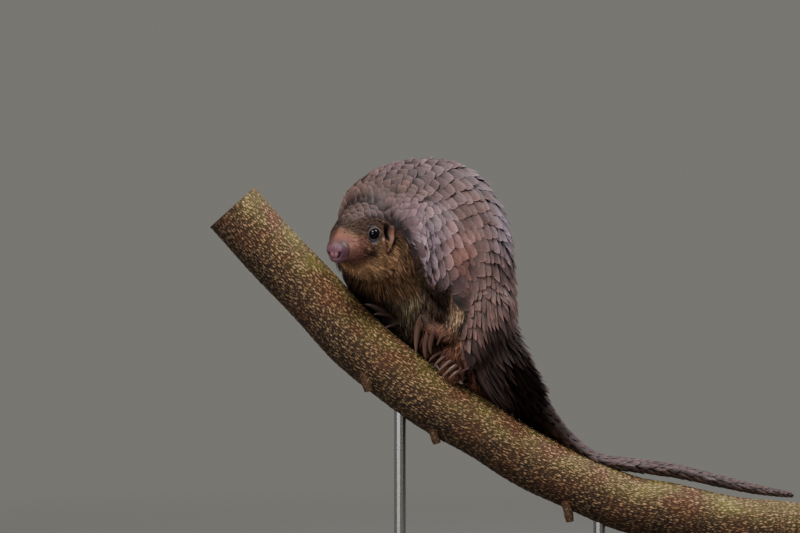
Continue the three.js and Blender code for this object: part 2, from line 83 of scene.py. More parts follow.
# Trunk and tail: X and Z of the back, X and Z of the belly, Y of the middle, half width, degrees turned left.
TRUNK = np.array([
    (-113, 415, -101, 313, 8, 43, 50), (-91, 431, -88, 289, 16, 50, 40),
    (-67, 436, -77, 264, 20, 53, 30), (-44, 437, -64, 250, 20, 57, 20),
    (-19, 429.5, -53, 243, 19, 58, 12), (5, 411, -43, 241, 17, 58, 7),
    (22, 382, -33, 239, 16, 57, 4), (30.5, 347, -25, 240, 15, 55, 2),
    (33, 307, -19, 236, 14, 51, 0), (36, 270, -13, 224, 14, 45, 0),
    (49, 239, -2, 207, 14, 38, 0), (66, 204, 28, 181, 14, 34, 0),
    (80, 178, 55, 163, 14, 30, 0), (98, 157, 86, 145, 13, 28, 0),
    (123, 140, 117, 127, 13, 26, 0), (161, 135, 159, 120, 13, 23, 0),
    (201, 129, 199, 114.5, 13, 20, 0), (241, 119, 239, 106, 13, 17, 0),
    (281, 109, 279, 98.5, 12, 13, 0), (313, 102, 311, 95.5, 12, 8, 0),
])


def head_sections(rows):
    """Middle, half axis to the left and half axis upwards of each ellipse of the head."""
    back, wide, up, down = rows.T
    middle = on_head(back, 0, (up - down) / 2)
    return np.stack([middle, LEFT * wide[:, None] * MM, UP * (up + down)[:, None] / 2 * MM], 1)


def trunk_sections(rows):
    """The same three vectors from the outline: the middle lies half way from back to belly."""
    top_x, top_z, low_x, low_z, y, wide, turn = rows.T
    top, low = np.stack([top_x, y, top_z], 1), np.stack([low_x, y, low_z], 1)
    turn = np.radians(turn)
    side = np.stack([np.sin(turn), -np.cos(turn), 0 * turn], 1) * wide[:, None]
    return np.stack([(top + low) / 2, side, (top - low) / 2], 1) * MM


BODY = np.concatenate([head_sections(HEAD), trunk_sections(TRUNK)])
print(len(BODY), "sections of the body")

# %% [markdown]
# ## One formula for every rounded form
# A smooth curve through a list of vectors gives the ellipse at any place between two sections. A point of the
# surface is then the middle plus the cosine of an angle along the one half axis and its sine along the other.
# Angle 0 is the animal's left side and a quarter turn is its back. The coat needs room, so each half axis can
# be made shorter by a depth: the skin lies that far inside the CAD solid.


# %% Reading the sections at any place
def between(rows, place):
    """Cubics through the rows, with half the step between its neighbours as slope at each row."""
    rows = np.concatenate([2 * rows[:1] - rows[1:2], rows, 2 * rows[-1:] - rows[-2:-1]])
    place = np.clip(place, 0, len(rows) - 3)
    first = np.minimum(place.astype(int), len(rows) - 4)
    t = (place - first).reshape(*place.shape, *[1] * (rows.ndim - 1))
    a, b, c, d = (rows[first + step] for step in range(4))
    return (2 * b + (c - a) * t + (2 * a - 5 * b + 4 * c - d) * t**2 + (3 * b - a - 3 * c + d) * t**3) / 2


def surface(form, place, angle, shrink=1.0, ahead=0.0):
    """Middle + cos(angle) x left axis + sin(angle) x up axis, each axis shortened by the coat's depth."""
    place, angle, shrink = np.broadcast_arrays(place, angle, shrink)
    middle, left, up = np.moveaxis(between(form["sections"], place), -2, 0)
    depth = np.interp(place, form["depth"][0], form["depth"][1])[..., None] * MM

    def shorter(axis):
        """The axis less the depth of the coat, times the shrinking of a domed end."""
        length = np.linalg.norm(axis, axis=-1, keepdims=True)
        return axis * (1 - depth / length) * shrink[..., None]

    return middle + np.cos(angle)[..., None] * shorter(left) + np.sin(angle)[..., None] * shorter(up) + ahead


def square_sections(rows):
    """Ellipses square to a line of points: rows of X, Y, Z, half thickness and half depth in mm."""
    rows = np.asarray(rows, float)
    at = rows[:, :3]
    along = at[np.minimum(np.arange(len(at)) + 1, len(at) - 1)] - at[np.maximum(np.arange(len(at)) - 1, 0)]
    along /= np.linalg.norm(along, axis=1, keepdims=True)
    side = np.array([0, -1, 0]) + along * along[:, 1:2]
    side /= np.linalg.norm(side, axis=1, keepdims=True)
    up = np.cross(side, along)
    return np.stack([at, side * rows[:, 4:5], up * rows[:, 3:4]], 1) * MM


# %% The branch's middle line, and places on its bark
# X, Z and radius in mm, from the upper cut end to the lower one.
BRANCH = np.array([
    (-248, 388, 30.5), (-202, 337, 30.5), (-162, 295, 30.5), (-121, 251, 30.5), (-79, 217, 30.5),
    (-37, 187, 30), (5, 163, 29.5), (38, 142, 29.5), (65, 127, 29.5), (107, 108, 29), (151, 90, 29),
    (194, 83, 28.5), (255, 70, 28), (296, 66, 28), (334, 62, 28),
])
print(f"the branch runs over {np.ptp(BRANCH[:, 0]):.0f} mm in X")


def grip(along, degrees, lift):
    """A point so many mm above the bark: at X along the middle line, and turned round it from the top."""
    i = max(int(np.argmax(BRANCH[:, 0] > along)), 1)
    (x0, z0, r0), (x1, z1, _) = BRANCH[i - 1], BRANCH[i]
    run = np.hypot(x1 - x0, z1 - z0)
    height = (r0 + lift) * np.cos(np.radians(degrees))
    depth = (r0 + lift) * np.sin(np.radians(degrees))
    level = z0 + (z1 - z0) * (along - x0) / (x1 - x0)
    return along - (z1 - z0) / run * height, depth, level + (x1 - x0) / run * height


# %% Limbs and paws
# Rows of X, Y, Z, half thickness and half depth in mm.
LIMBS = {
    "upper_arm_left": [
        (-54, -12, 380, 27, 24), (-44, -20, 358, 32, 28), (-35, -26, 334, 31, 25),
        (-28, -31, 310, 23, 18), (-24, -34, 294, 13, 12),
    ],
    "forearm_left": [(-22, -36, 300, 13, 12), (-21, -34, 284, 11, 11), (-24, -30, 268, 9, 10),
                     (-30, -26, 259, 7.5, 9.5)],
    "upper_arm_right": [
        (-107, 36, 396, 24, 20), (-115, 42, 378, 27, 23), (-118, 44, 353, 25, 22),
        (-123, 42, 331, 19, 17), (-127, 38, 319, 12, 11),
    ],
    "forearm_right": [(-125, 38, 321, 16, 13), (-109, 35, 304, 19, 14), (-94, 30, 290, 18, 14),
                      (*grip(-95, 27, 19), 12, 12)],
    "thigh_left": [(5, -12, 304, 25, 22), (4, -21, 286, 28, 25), (1, -27, 266, 25, 22),
                   (-6, -30, 247, 16, 16), (-11, -31, 233, 7, 9)],
    "shank_left": [(-12, -26, 262, 12, 12), (-17, -22, 250, 11, 11.5), (-21, -18, 240, 9.5, 11)],
    "thigh_right": [(8, 40, 304, 25, 22), (9, 49, 286, 28, 25), (9, 54, 266, 25, 22),
                    (8, 56, 247, 17, 17), (7, 56, 234, 8, 10)],
    "shank_right": [(6, 52, 244, 12, 12), (11, 48, 230, 11, 11.5), (*grip(-3, 50, 22), 9.5, 10.5)],
    "forepaw_left": [(-29, -27, 262, 8.5, 10), (-38, -24, 264, 9.5, 13), (-47, -22, 267, 9, 13),
                     (-52, -21, 271, 6.5, 10)],
    "forepaw_right": [(*grip(-97, 26, 17), 9, 10), (*grip(-103, 22, 11), 9, 13),
                      (*grip(-111, 20, 9.5), 8, 14), (*grip(-117, 20, 8.5), 6, 11)],
    "hind_foot_left": [(-22, -17, 247, 10, 10), (-26, -12, 236, 13, 10.5), (-27, -10, 226, 12.5, 10.5),
                       (-25, -10, 216, 9, 9.5)],
    "hind_foot_right": [(*grip(-5, 48, 17), 9, 10), (*grip(-10, 42, 11), 9.5, 11.5),
                        (*grip(-19, 38, 9.5), 8.5, 12), (*grip(-28, 36, 9), 6.5, 11)],
}
# Each toe: root, knuckle and claw tip, and the claw's radius.
TOES = {
    "forepaw_left": [
        ((-38, -34, 262), (-40, -36, 258), (-43, -31, 251), 1.7),
        ((-43, -32, 266), (-47, -32, 263), (-49, -25, 242), 2.9),
        ((-47, -26, 267), (-52, -26, 263), (-54, -20, 237), 3.3),
        ((-52, -19, 272), (-57, -19, 280), (-64, -14, 242), 4.4),
        ((-50, -13, 268), (-56, -11, 262), (-60, -9, 247), 1.9),
    ],
    "forepaw_right": [
        (grip(-106, -4, 9), grip(-108, -12, 9), grip(-114, -28, 1.5), 1.7),
        (grip(-112, 4, 10), grip(-117, -2, 11), grip(-129, -14, 1.5), 2.5),
        (grip(-114, 20, 10), grip(-122, 17, 12), grip(-138, 14, 1.5), 3.8),
        (grip(-112, 36, 10), grip(-118, 40, 11), grip(-130, 50, 1.5), 2.7),
        (grip(-106, 44, 9), grip(-110, 52, 9), grip(-115, 66, 1.5), 1.8),
    ],
    "hind_foot_left": [
        ((-31, -13, 240), (-38, -14, 244), (-51, -15, 234), 2.1),
        ((-25, -16, 239), (-30, -19, 242), (-46, -20, 229), 2.4),
        ((-22, -18, 234), (-25, -22, 237), (-42, -23, 223), 2.5),
        ((-20, -19, 228), (-21, -24, 232), (-38, -26, 218.5), 2.5),
        ((-19, -19, 221), (-19, -24, 226), (-31, -28, 217.5), 2.1),
    ],
    "hind_foot_right": [
        (grip(-24, 16, 10), grip(-29, 10, 11), grip(-41, 2, 1.5), 1.9),
        (grip(-27, 26, 10), grip(-34, 22, 12), grip(-48, 18, 1.5), 2.1),
        (grip(-28, 37, 10), grip(-36, 36, 12), grip(-51, 35, 1.5), 2.2),
        (grip(-27, 48, 10), grip(-34, 51, 12), grip(-47, 54, 1.5), 2.2),
        (grip(-24, 58, 10), grip(-29, 63, 11), grip(-40, 70, 1.5), 1.9),
    ],
}
# How deep the skin lies inside the CAD solid in mm, at places counted in sections.
BODY_DEPTH = ([0, 1.5, 3, 4.5, 6, 8, 10, 18, 22, 27], [-1.2, -1.0, -0.4, 0.3, 2.0, 2.6, 3.4, 3.4, 2.8, 1.5])
LIMB_DEPTH = {"upper_arm": 2.8, "thigh": 3.0, "forearm": 1.4, "shank": 1.2, "forepaw": 0.6, "hind_foot": 0.6}

forms = {"body": {"sections": BODY, "depth": BODY_DEPTH}}
for name, rows in LIMBS.items():
    depth = LIMB_DEPTH[name.rsplit("_", 1)[0]]
    forms[name] = {"sections": square_sections(rows), "depth": ([0, 1], [depth, depth])}
print(len(forms), "forms")

# %% [markdown]
# ## From arrays to meshes
# A grid of points that closes round itself makes a tube. Its two ends are closed by a fan to one pole each.
# `foreach_set` hands whole arrays to Blender at once, which is far quicker than adding faces one by one.


# %% Tubes, joins and mesh objects
DOME_ROWS = 5


def tube(form, first, last, rows, sides, dome_first=0.0, dome_last=0.0):
    """Ellipses from one place to another; a domed end shrinks by a cosine over five more rows."""
    bend = np.radians(np.linspace(78, 15, DOME_ROWS))
    steps = np.linspace(first, last, rows)
    place = np.concatenate([np.full(DOME_ROWS, first), steps, np.full(DOME_ROWS, last)])
    shrink = np.concatenate([np.cos(bend), np.ones(rows), np.cos(bend[::-1])])
    line = surface(form, np.array([first, first + 0.02, last - 0.02, last]), 0, 0)
    out = np.stack([line[0] - line[1], line[3] - line[2]])
    out /= np.linalg.norm(out, axis=1, keepdims=True)
    rise = np.sin(bend)[:, None] * MM
    flat = np.zeros((rows, 3))
    ahead = np.concatenate([rise * dome_first * out[0], flat, rise[::-1] * dome_last * out[1]])
    keep = slice(0 if dome_first else DOME_ROWS, None if dome_last else rows + DOME_ROWS)
    angle = np.linspace(0, 2 * np.pi, sides, endpoint=False)
    return surface(form, place[keep, None], angle, shrink[keep, None], ahead[keep, None])


def closed(grid):
    """A grid that closes round itself as points, quads and the triangles of its two end fans."""
    rows, sides = grid.shape[:2]
    here = np.arange(rows * sides).reshape(rows, sides)
    beside = np.roll(here, -1, axis=1)
    quads = np.stack([here[:-1], here[1:], beside[1:], beside[:-1]], -1).reshape(-1, 4)
    poles = np.full((2, sides), rows * sides) + [[0], [1]]
    first_fan = np.stack([poles[0], here[0], beside[0]], -1)
    last_fan = np.stack([poles[1], beside[-1], here[-1]], -1)
    points = np.concatenate([grid.reshape(-1, 3), grid[[0, -1]].mean(1)])
    return points, quads, np.concatenate([first_fan, last_fan])


def joined(parts):
    """Several (points, quads, triangles) as one: each one's corner numbers move on past those before it."""
    shift = np.cumsum([0] + [len(points) for points, _, _ in parts])
    points = np.concatenate([points for points, _, _ in parts])
    quads = np.concatenate([quads + more for (_, quads, _), more in zip(parts, shift)])
    tris = np.concatenate([tris + more for (_, _, tris), more in zip(parts, shift)])
    return points, quads, tris


def mesh_object(name, points, quads, tris, smooth=True):
    """Corners and faces go into the mesh as whole arrays; the object itself stays at the origin."""
    mesh = bpy.data.meshes.new(name)
    mesh.vertices.add(len(points))
    mesh.vertices.foreach_set("co", np.ascontiguousarray(points, np.float32).ravel())
    corners = np.concatenate([quads.ravel(), tris.ravel()]).astype(np.int32)
    starts = np.concatenate([np.arange(len(quads)) * 4, len(quads) * 4 + np.arange(len(tris)) * 3])
    mesh.loops.add(len(corners))
    mesh.loops.foreach_set("vertex_index", corners)
    mesh.polygons.add(len(starts))
    mesh.polygons.foreach_set("loop_start", starts.astype(np.int32))
    mesh.polygons.foreach_set("use_smooth", np.full(len(starts), smooth))
    mesh.update(calc_edges=True)
    piece = bpy.data.objects.new(name, mesh)
    bpy.context.scene.collection.objects.link(piece)
    return piece


def attribute(piece, name, kind, values):
    """One value for each corner of the mesh, for the material to read."""
    field = {"FLOAT": "value", "FLOAT_VECTOR": "vector", "FLOAT_COLOR": "color"}[kind]
    made = piece.data.attributes.new(name, kind, "POINT")
    made.data.foreach_set(field, np.ascontiguousarray(values, np.float32).ravel())


def corners_of(mesh):
    """The mesh's corners as one array."""
    flat = np.empty(len(mesh.vertices) * 3, np.float32)
    mesh.vertices.foreach_get("co", flat)
    return flat.reshape(-1, 3).astype(float)


def evaluated(piece):
    """A new mesh of the piece as its modifiers leave it."""
    return bpy.data.meshes.new_from_object(piece.evaluated_get(bpy.context.evaluated_depsgraph_get()))


# %% [markdown]
# ## One skin
# A museum taxidermist stretches one hide over the whole mannequin, so no joint shows between leg and trunk.
# Here tubes for body, limbs, soles and toes run into each other. A voxel remesh melts them into one closed
# skin, and a little smoothing turns the creases between them into folds.


# %% Raw tubes, melted together
def toe_sections(root, knuckle, radius):
    """A finger from its root to its knuckle, a third thicker than its claw."""
    root, knuckle, size = np.array(root), np.array(knuckle), radius * 1.35
    return square_sections([(*root, size, size), (*(root + knuckle) / 2, size, size),
                            (*knuckle, size * 0.85, size * 0.85)])


raw = [closed(tube(forms["body"], 0, len(BODY) - 1, rows=220, sides=64, dome_first=2.4, dome_last=5))]
for name, form in forms.items():
    last = len(form["sections"]) - 1
    if name in TOES:
        raw.append(closed(tube(form, 0, last, rows=14, sides=28, dome_last=3)))
        for root, knuckle, _, radius in TOES[name]:
            toe = {"sections": toe_sections(root, knuckle, radius), "depth": ([0, 1], [0.25, 0.25])}
            raw.append(closed(tube(toe, 0, 2, rows=8, sides=12, dome_last=2)))
    elif name != "body":
        raw.append(closed(tube(form, 0, last, rows=24, sides=36, dome_first=9, dome_last=5)))
rough_skin = mesh_object("rough_skin", *joined(raw))
melt = rough_skin.modifiers.new("melt", "REMESH")
melt.mode = "VOXEL"
melt.voxel_size = 1.9 * MM
soften = rough_skin.modifiers.new("soften", "SMOOTH")
soften.factor = 0.5
soften.iterations = 5
skin_mesh = evaluated(rough_skin)
bpy.data.objects.remove(rough_skin)
print(len(skin_mesh.polygons), "faces of skin")

# %% [markdown]
# ## Eyelids, ears, nostrils and mouth
# The head needs finer faces than the trunk, so its faces are divided again, twice round eyes, ears and nose.
# Each feature is then one formula of the place on the head, in mm. A lid is a ring that rises over the
# eyeball and falls away from it. An ear is a dark slit with a fold of skin before and behind it. A nostril
# is a small pit shaped like a comma. Sculpting by hand could do the same, but a formula can be read and
# changed.

# %% Finer faces on the head
import bmesh

EYE_RADIUS, EYE_PLACE = 5.7, (46, 20.8, 4.0)
EAR_PLACE = (64, 29.5, -3)
sides = np.array([1, -1])
eyes = np.stack([on_head(EYE_PLACE[0], EYE_PLACE[1] * side, EYE_PLACE[2]) for side in sides])
ears = np.stack([on_head(EAR_PLACE[0], EAR_PLACE[1] * side, EAR_PLACE[2]) for side in sides])


def divide(mesh, wanted):
    """Cuts every face whose middle is wanted into four."""
    middles = np.empty(len(mesh.polygons) * 3, np.float32)
    mesh.polygons.foreach_get("center", middles)
    chosen = wanted(middles.reshape(-1, 3).astype(float))
    work = bmesh.new()
    work.from_mesh(mesh)
    work.faces.ensure_lookup_table()
    edges = {edge for i in np.flatnonzero(chosen) for edge in work.faces[i].edges}
    bmesh.ops.subdivide_edges(work, edges=list(edges), cuts=1, use_grid_fill=True)
    work.to_mesh(mesh)
    work.free()


def near(points, targets, reach):
    """True where a point lies within reach of any target."""
    return np.min([np.linalg.norm(points - target, axis=1) for target in targets], axis=0) < reach * MM


def on_face(points):
    """True from the nose back to the ears, and down to the throat."""
    back, left, up = in_head(points)
    return (back < 80) & (abs(left) < 38) & (up > -40)


def on_features(points):
    """True close to the eyes, the ears and the tip of the nose."""
    back, _, _ = in_head(points)
    return near(points, eyes, 13) | near(points, ears, 17) | (back < 13)


divide(skin_mesh, on_face)
divide(skin_mesh, on_features)
print(len(skin_mesh.polygons), "faces of skin with the head divided")


# %% The features as formulas
def fade(value, low, high):
    """0 below low, 1 above high, and a smooth step between them."""
    t = np.clip((value - low) / (high - low), 0, 1)
    return t * t * (3 - 2 * t)


def bell(value, width):
    """1 in the middle and next to nothing two widths away."""
    return np.exp(-((value / width) ** 2))


EYE_AXES = [LEFT * side * 0.78 + FORWARD * 0.60 + UP * 0.12 for side in sides]
LID_THICK = 0.85


def eye_frame(axis):
    """The eye's outward direction, with one across it and one up it."""
    axis = axis / np.linalg.norm(axis)
    across = np.cross(UP, axis)
    across /= np.linalg.norm(across)
    return axis, across, np.cross(axis, across)


def shape_lids(points):
    """Along the eye's axis: inside the ball within the opening, over it at the lid, then down to the skin."""
    for eye, direction in zip(eyes, EYE_AXES):
        axis, across, over = eye_frame(direction)
        off = (points - eye) / MM
        high, wide, tall = off @ axis, off @ across, off @ over
        ring = np.hypot(wide / 1.12, tall)
        ball = np.sqrt(np.clip(EYE_RADIUS**2 - ring**2, 0, None))
        lid = np.sqrt(np.clip((EYE_RADIUS + LID_THICK) ** 2 - ring**2, 0, None)) + 0.1
        hood = 0.5 * bell(tall - 5.8, 1.8) * bell(wide, 5) + 0.5 * bell(tall + 6.6, 1.6) * bell(wide, 4.5)
        crease = -0.8 * bell(ring - 8.6, 0.8) - 0.4 * bell(ring - 11.0, 0.9)
        shut = fade(ring, 5.1, 5.5)
        target = (ball - 1.2) * (1 - shut) + (lid + hood) * shut
        hold = 1 - fade(ring + 0.15 * np.minimum(tall, 0), 6.2, 8.9)
        rise = hold * (target - high) + (1 - hold) * crease
        outer = (high > -1.5) & (ring < 13)
        points += np.where(outer, rise, 0)[:, None] * axis * MM
    return points


def ear_masks(points):
    """Where the ear's slit, its front fold and its back fold lie."""
    back, left, up = in_head(points)
    on = fade(abs(left), 18, 22) * (back < 86)
    below = np.clip(-6 - up, 0, 14)
    slit = bell(back - 65.2 + 0.3 * below, 5.4 - 3.4 * fade(below, 0, 5)) * bell(up + 2.5, 7.5)
    front = bell(back - 53.2 - 0.02 * below**2, 2.6) * fade(up, -21, -18) * (1 - fade(up, -6, -2))
    rear = bell(back - 71.0 + 0.033 * (up - 0.5) ** 2, 2.1) * fade(up, -21, -18) * (1 - fade(up, 0, 5))
    return on * slit, on * front, on * rear


def shape_head(points, normals):
    """Pits and folds along the skin's normal, in mm: each is a height times bells and steps of the place."""
    back, left, up = in_head(points)
    side = abs(left)
    slit, front, rear = ear_masks(points)
    comma = side - 6.1 + 0.11 * (up - 0.8) ** 2
    nostril = -2.6 * bell(comma, 1.0) * fade(up, -5.6, -3.6) * (1 - fade(up, 0.6, 2.4)) * (back < 7)
    wing = 0.9 * bell(side - 7.4, 2.4) * bell(up - 3.4, 3.2) * (back < 9)
    lump = 0.5 * bell(side - 2.6, 1.7) * bell(up + 1.2, 2.2) * (back < 6)
    cleft = -0.6 * bell(left, 0.6) * bell(up + 2.5, 5) * (back < 6)
    pad = -1.1 * bell(back - 10.8 - 0.12 * up, 1.2) * (1 - fade(up, 3, 7))
    lips = fade(back, 4, 8) * (1 - fade(back, 30, 38)) * (up < -6)
    mouth = -0.6 * bell(up + 10.8 + 0.10 * back, 0.9) * lips
    cheek = 0.5 * bell(up + 4, 6) * bell(back - 33, 8) * fade(side, 8, 14)
    wrinkle = 0.22 * np.sin(back * 2.1 + 0.8 * np.sin(up * 0.7)) * bell(back - 17, 8) * fade(up, -4, 4)
    ridge = 0.25 * np.sin(back * 0.9 + up * 1.3) * bell(back - 26, 7) * bell(up + 1, 9)
    swell = 2.8 * bell(back - 24, 17) * fade(up, 0, 9) * fade(-left, -5, 4)
    swell += 1.6 * fade(-up, 4, 8) * (1 - fade(back, 8, 12))
    snout = nostril + wing + lump + cleft + pad + mouth + cheek + wrinkle + ridge
    rise = -6.0 * slit + 2.4 * front + 2.8 * rear + swell + snout
    return points + np.where(back < 86, rise, 0)[:, None] * normals * MM


def normals_of(mesh):
    """The mesh's corner normals as one array."""
    flat = np.empty(len(mesh.vertices) * 3, np.float32)
    mesh.vertex_normals.foreach_get("vector", flat)
    return flat.reshape(-1, 3).astype(float)


points = shape_lids(shape_head(corners_of(skin_mesh), normals_of(skin_mesh)))
skin_mesh.vertices.foreach_set("co", points.astype(np.float32).ravel())
skin_mesh.polygons.foreach_set("use_smooth", np.ones(len(skin_mesh.polygons), bool))
skin_mesh.update()
skin = bpy.data.objects.new("skin", skin_mesh)
bpy.context.scene.collection.objects.link(skin)
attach(skin, "root")
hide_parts("nose", "muzzle", "head", "neck", "trunk_front", "trunk_middle", "trunk_rear", "tail_base",
            "tail_middle", "tail_end", "ear_left", "ear_right", *LIMBS)
print(sum(len(face.vertices) - 2 for face in skin_mesh.polygons), "triangles of skin")

# %% [markdown]
# ## Markings
# Skin, scales and fur take their colours from functions of the place on the body, so they always agree. The
# snout is bare and reddish, cheeks and throat are golden brown, and the chest is pale. The scales run from
# lavender grey on the shoulder over a worn, pinkish patch to brown on the flank. Painted shade darkens them
# below the shoulder and makes them nearly black at the root of the tail. It also darkens the fur under the
# head. Painting by hand would give the same, but a soft mask for each area is easier to read and to move.


# %% Colours and where they lie
def hue(code):
    """An sRGB hex colour as linear red, green and blue."""
    value = np.array([int(code[i:i + 2], 16) for i in (1, 3, 5)]) / 255
    return np.where(value <= 0.04045, value / 12.92, ((value + 0.055) / 1.055) ** 2.4)


def paint(colour, code, mask):
    """Mixes one more colour in where the mask says so."""
    mask = np.clip(mask, 0, 1)[:, None]
    return colour * (1 - mask) + hue(code) * mask


def head_mask(points):
    """1 on the head, and a smooth step to 0 behind the ears."""
    back, left, up = in_head(points)
    return (1 - fade(back, 70, 84)) * (up > -62) * (abs(left) < 46)


def eye_distance(points):
    """How many mm a point lies from the middle of the nearer eye."""
    return np.min([np.linalg.norm(points - eye, axis=1) for eye in eyes], axis=0) / MM


def scale_colour(points):
    """Brown-grey, with a lavender shoulder, a worn patch, and painted shade under the shoulder and tail root.
    """
    x, y, z = points.T / MM
    colour = np.tile(hue("#69504c"), (len(points), 1))
    colour = paint(colour, "#927f8f", 0.88 * bell(x + 62, 30) * bell(z - 352, 36))
    colour = paint(colour, "#6c5c64", 0.5 * fade(z, 395, 430))
    colour = paint(colour, "#54423f", 0.65 * bell(x + 102, 24) * bell(z - 398, 22))
    colour = paint(colour, "#867786", 0.65 * fade(x, -12, 20) * fade(z, 335, 380))
    colour = paint(colour, "#8c6258", 0.9 * bell(x + 33, 14) * bell(z - 352, 26) * (y < 10))
    # Painted shade: the dark gap below the shoulder, on the near side.
    colour = paint(colour, "#120a07", 0.95 * bell(x + 46, 16) * bell(z - 309, 13) * (y < 10))
    colour = paint(colour, "#674f4c", 0.75 * (1 - fade(z, 265, 310)) * (x > -30))
    # Painted shade at the root of the tail, darkest on the near side.
    painted_tail_root_shade = fade(x, 6, 24) * (1 - fade(z, 242, 262)) * (1 - fade(x, 66, 108))
    colour = paint(colour, "#301a11", (0.93 - 0.6 * fade(y, -8, 18)) * painted_tail_root_shade)
    colour = paint(colour, "#5f4d4b", 0.8 * fade(x, 80, 112))
    back, _, _ = in_head(points)
    return paint(colour, "#54403b", 0.9 * head_mask(points) * (1 - fade(back, 60, 76)))


# Below this line, in mm, lies the deep shade under the head.
SHADE_X, SHADE_Z = [-150, -131, -117, -101, -92, -75, -60], [331, 325, 317, 309, 303, 297, 290]


def fur_colour(points):
    """Golden-brown cheeks, darker throat, pale chest, brown belly and legs, and the face's bare front.

    Painted shade darkens the fur under the head, the snout's far side and the pits of nose and ears, and the
    nose has a painted sheen and highlight.
    """
    x, y, z = points.T / MM
    back, left, up = in_head(points)
    side = abs(left)
    on = head_mask(points)
    colour = np.tile(hue("#483228"), (len(points), 1))
    colour = paint(colour, "#a8977b", 0.9 * bell(x + 74, 17) * bell(z - 303, 22) * (y < 22))
    # Painted shade: the far forearm, black in the shade under the head.
    colour = paint(colour, "#0f0906", 0.9 * bell(x + 106, 13) * bell(z - 294, 17))
    colour = paint(colour, "#8f8b92", 0.75 * bell(x + 137, 7) * bell(z - 322, 9))
    colour = paint(colour, "#f0cfae", 1.0 * bell(x + 20, 10) * bell(z - 275, 25) * (y < -15))
    colour = paint(colour, "#a5725f", 0.8 * (1 - fade(z, 262, 276)) * (x > -60) * (x < 30))
    throat = on * (1 - 0.75 * (1 - fade(z, 306, 318)) * fade(x, -122, -112))
    colour = paint(colour, "#89674c", throat)
    cheek = bell(up + 25, 17) * fade(back, 28, 38) * (1 - fade(back, 60, 72))
    colour = paint(colour, "#dfb892", on * 0.9 * cheek)
    colour = colour * (1 - 0.45 * on * fade(back, 62, 74))[:, None]
    colour = paint(colour, "#6b5449", on * fade(up, 3, 11) * fade(back, 20, 32))
    colour = paint(colour, "#a5766a", on * (1 - fade(back, 26, 35)) * (1 - fade(up, 4, 10)))
    colour = paint(colour, "#7c4a3c", on * (1 - fade(back, 18, 26)) * fade(up, 3, 9) * (left > -6))
    colour = paint(colour, "#1c100c", on * 0.95 * bell(back - 35, 6.5) * bell(up + 10.5, 5) * (side > 12))
    # Painted shade on the far side of the snout's top.
    colour = paint(colour, "#2e221f", on * 0.8 * (1 - fade(left, -7, -2)) * fade(up, -2, 5))
    colour = paint(colour, "#74505f", on * (1 - fade(back + 6 * fade(up, 2, 8), 9.6, 11.6)))
    # Above the nose pad the skin is dark greyish lilac: partly its own colour, partly a painted sheen.
    colour = paint(colour, "#4a383c", on * 0.85 * bell(back - 8, 5) * bell(up - 8, 4.5))
    # The septum is light pink: partly its own colour, partly a painted highlight.
    colour = paint(colour, "#b58088", on * 0.8 * bell(back, 3.5) * bell(side - 2.2, 3) * bell(up + 1, 3))
    # Painted shade in the pits of the nostrils.
    comma = side - 6.1 + 0.11 * (up - 0.8) ** 2
    nostril = bell(comma, 1.0) * fade(up, -6.0, -4) * (1 - fade(up, 0.8, 2.4)) * (back < 7)
    colour = paint(colour, "#1d0c10", on * nostril)
    # Painted shade in the crease behind the nose pad.
    colour = paint(colour, "#4a2f30", on * 0.7 * bell(back - 11.0 - 0.12 * up, 1.1) * (1 - fade(up, 3, 7)))
    slit, front, rear = ear_masks(points)
    colour = paint(colour, "#6e4636", 0.8 * on * fade(slit, 0.1, 0.3))
    # Painted shade in the ear's slit.
    colour = paint(colour, "#0b0605", on * fade(slit, 0.2, 0.5))
    colour = paint(colour, "#d8a38b", on * fade(front, 0.25, 0.6))
    colour = paint(colour, "#a97a66", on * fade(rear, 0.25, 0.6))
    colour = paint(colour, "#cfae9c", on * 0.8 * bell(back - 70, 5) * bell(up - 8, 2.6) * (side > 18))
    distance = eye_distance(points)
    low = 2.6 * fade(-up + EYE_PLACE[2], 2, 6) * bell(back - 41, 6) - 0.9 * fade(up - EYE_PLACE[2], 2, 5)
    colour = paint(colour, "#968fa0", 0.95 * on * (1 - fade(distance - low, 7.2, 8.1)) * (front < 0.3))
    colour = paint(colour, "#1a1418", on * (1 - fade(distance, 6.1, 6.4)))
    # Painted shade below that line: strongest under the head, weaker on the chest.
    edge = np.interp(x, SHADE_X, SHADE_Z)
    deep = (0.55 + 0.37 * (1 - fade(x, -98, -86))) * (1 - fade(x, -60, -48))
    return colour * (1 - deep * (1 - fade(z - edge, -3, 7)))[:, None]


# %% [markdown]
# ## Laying things on the skin
# Scales and locks of fur are worked out on the tubes, and then they are pulled onto the melted skin, so that
# they ride over every fold. A Shrinkwrap modifier finds the nearest place for all points in one go.


# %% The nearest place on the skin
def on_skin(points):
    """The nearest place on the skin to each point, and the skin's smooth normal there."""
    none = np.zeros((0, 4), int)
    probe = mesh_object("probe", points.reshape(-1, 3), none, none[:, :3])
    cling = probe.modifiers.new("cling", "SHRINKWRAP")
    cling.target = skin
    cling.wrap_mode = "ABOVE_SURFACE"
    found = []
    for lift in (0, 1):
        cling.offset = lift * MM
        found.append(corners_of(evaluated(probe)))
    bpy.data.objects.remove(probe)
    normal = found[1] - found[0]
    normal /= np.maximum(np.linalg.norm(normal, axis=1, keepdims=True), 1e-9)
    return found[0].reshape(points.shape), normal.reshape(points.shape)


def frame_at(form, place, angle):
    """The point, and how far it moves for one section along and for one radian round."""
    step = 0.01
    point = surface(form, place, angle)
    along = (surface(form, place + step, angle) - surface(form, place - step, angle)) / (2 * step)
    round_ = (surface(form, place, angle + step) - surface(form, place, angle - step)) / (2 * step)
    return point, along, round_


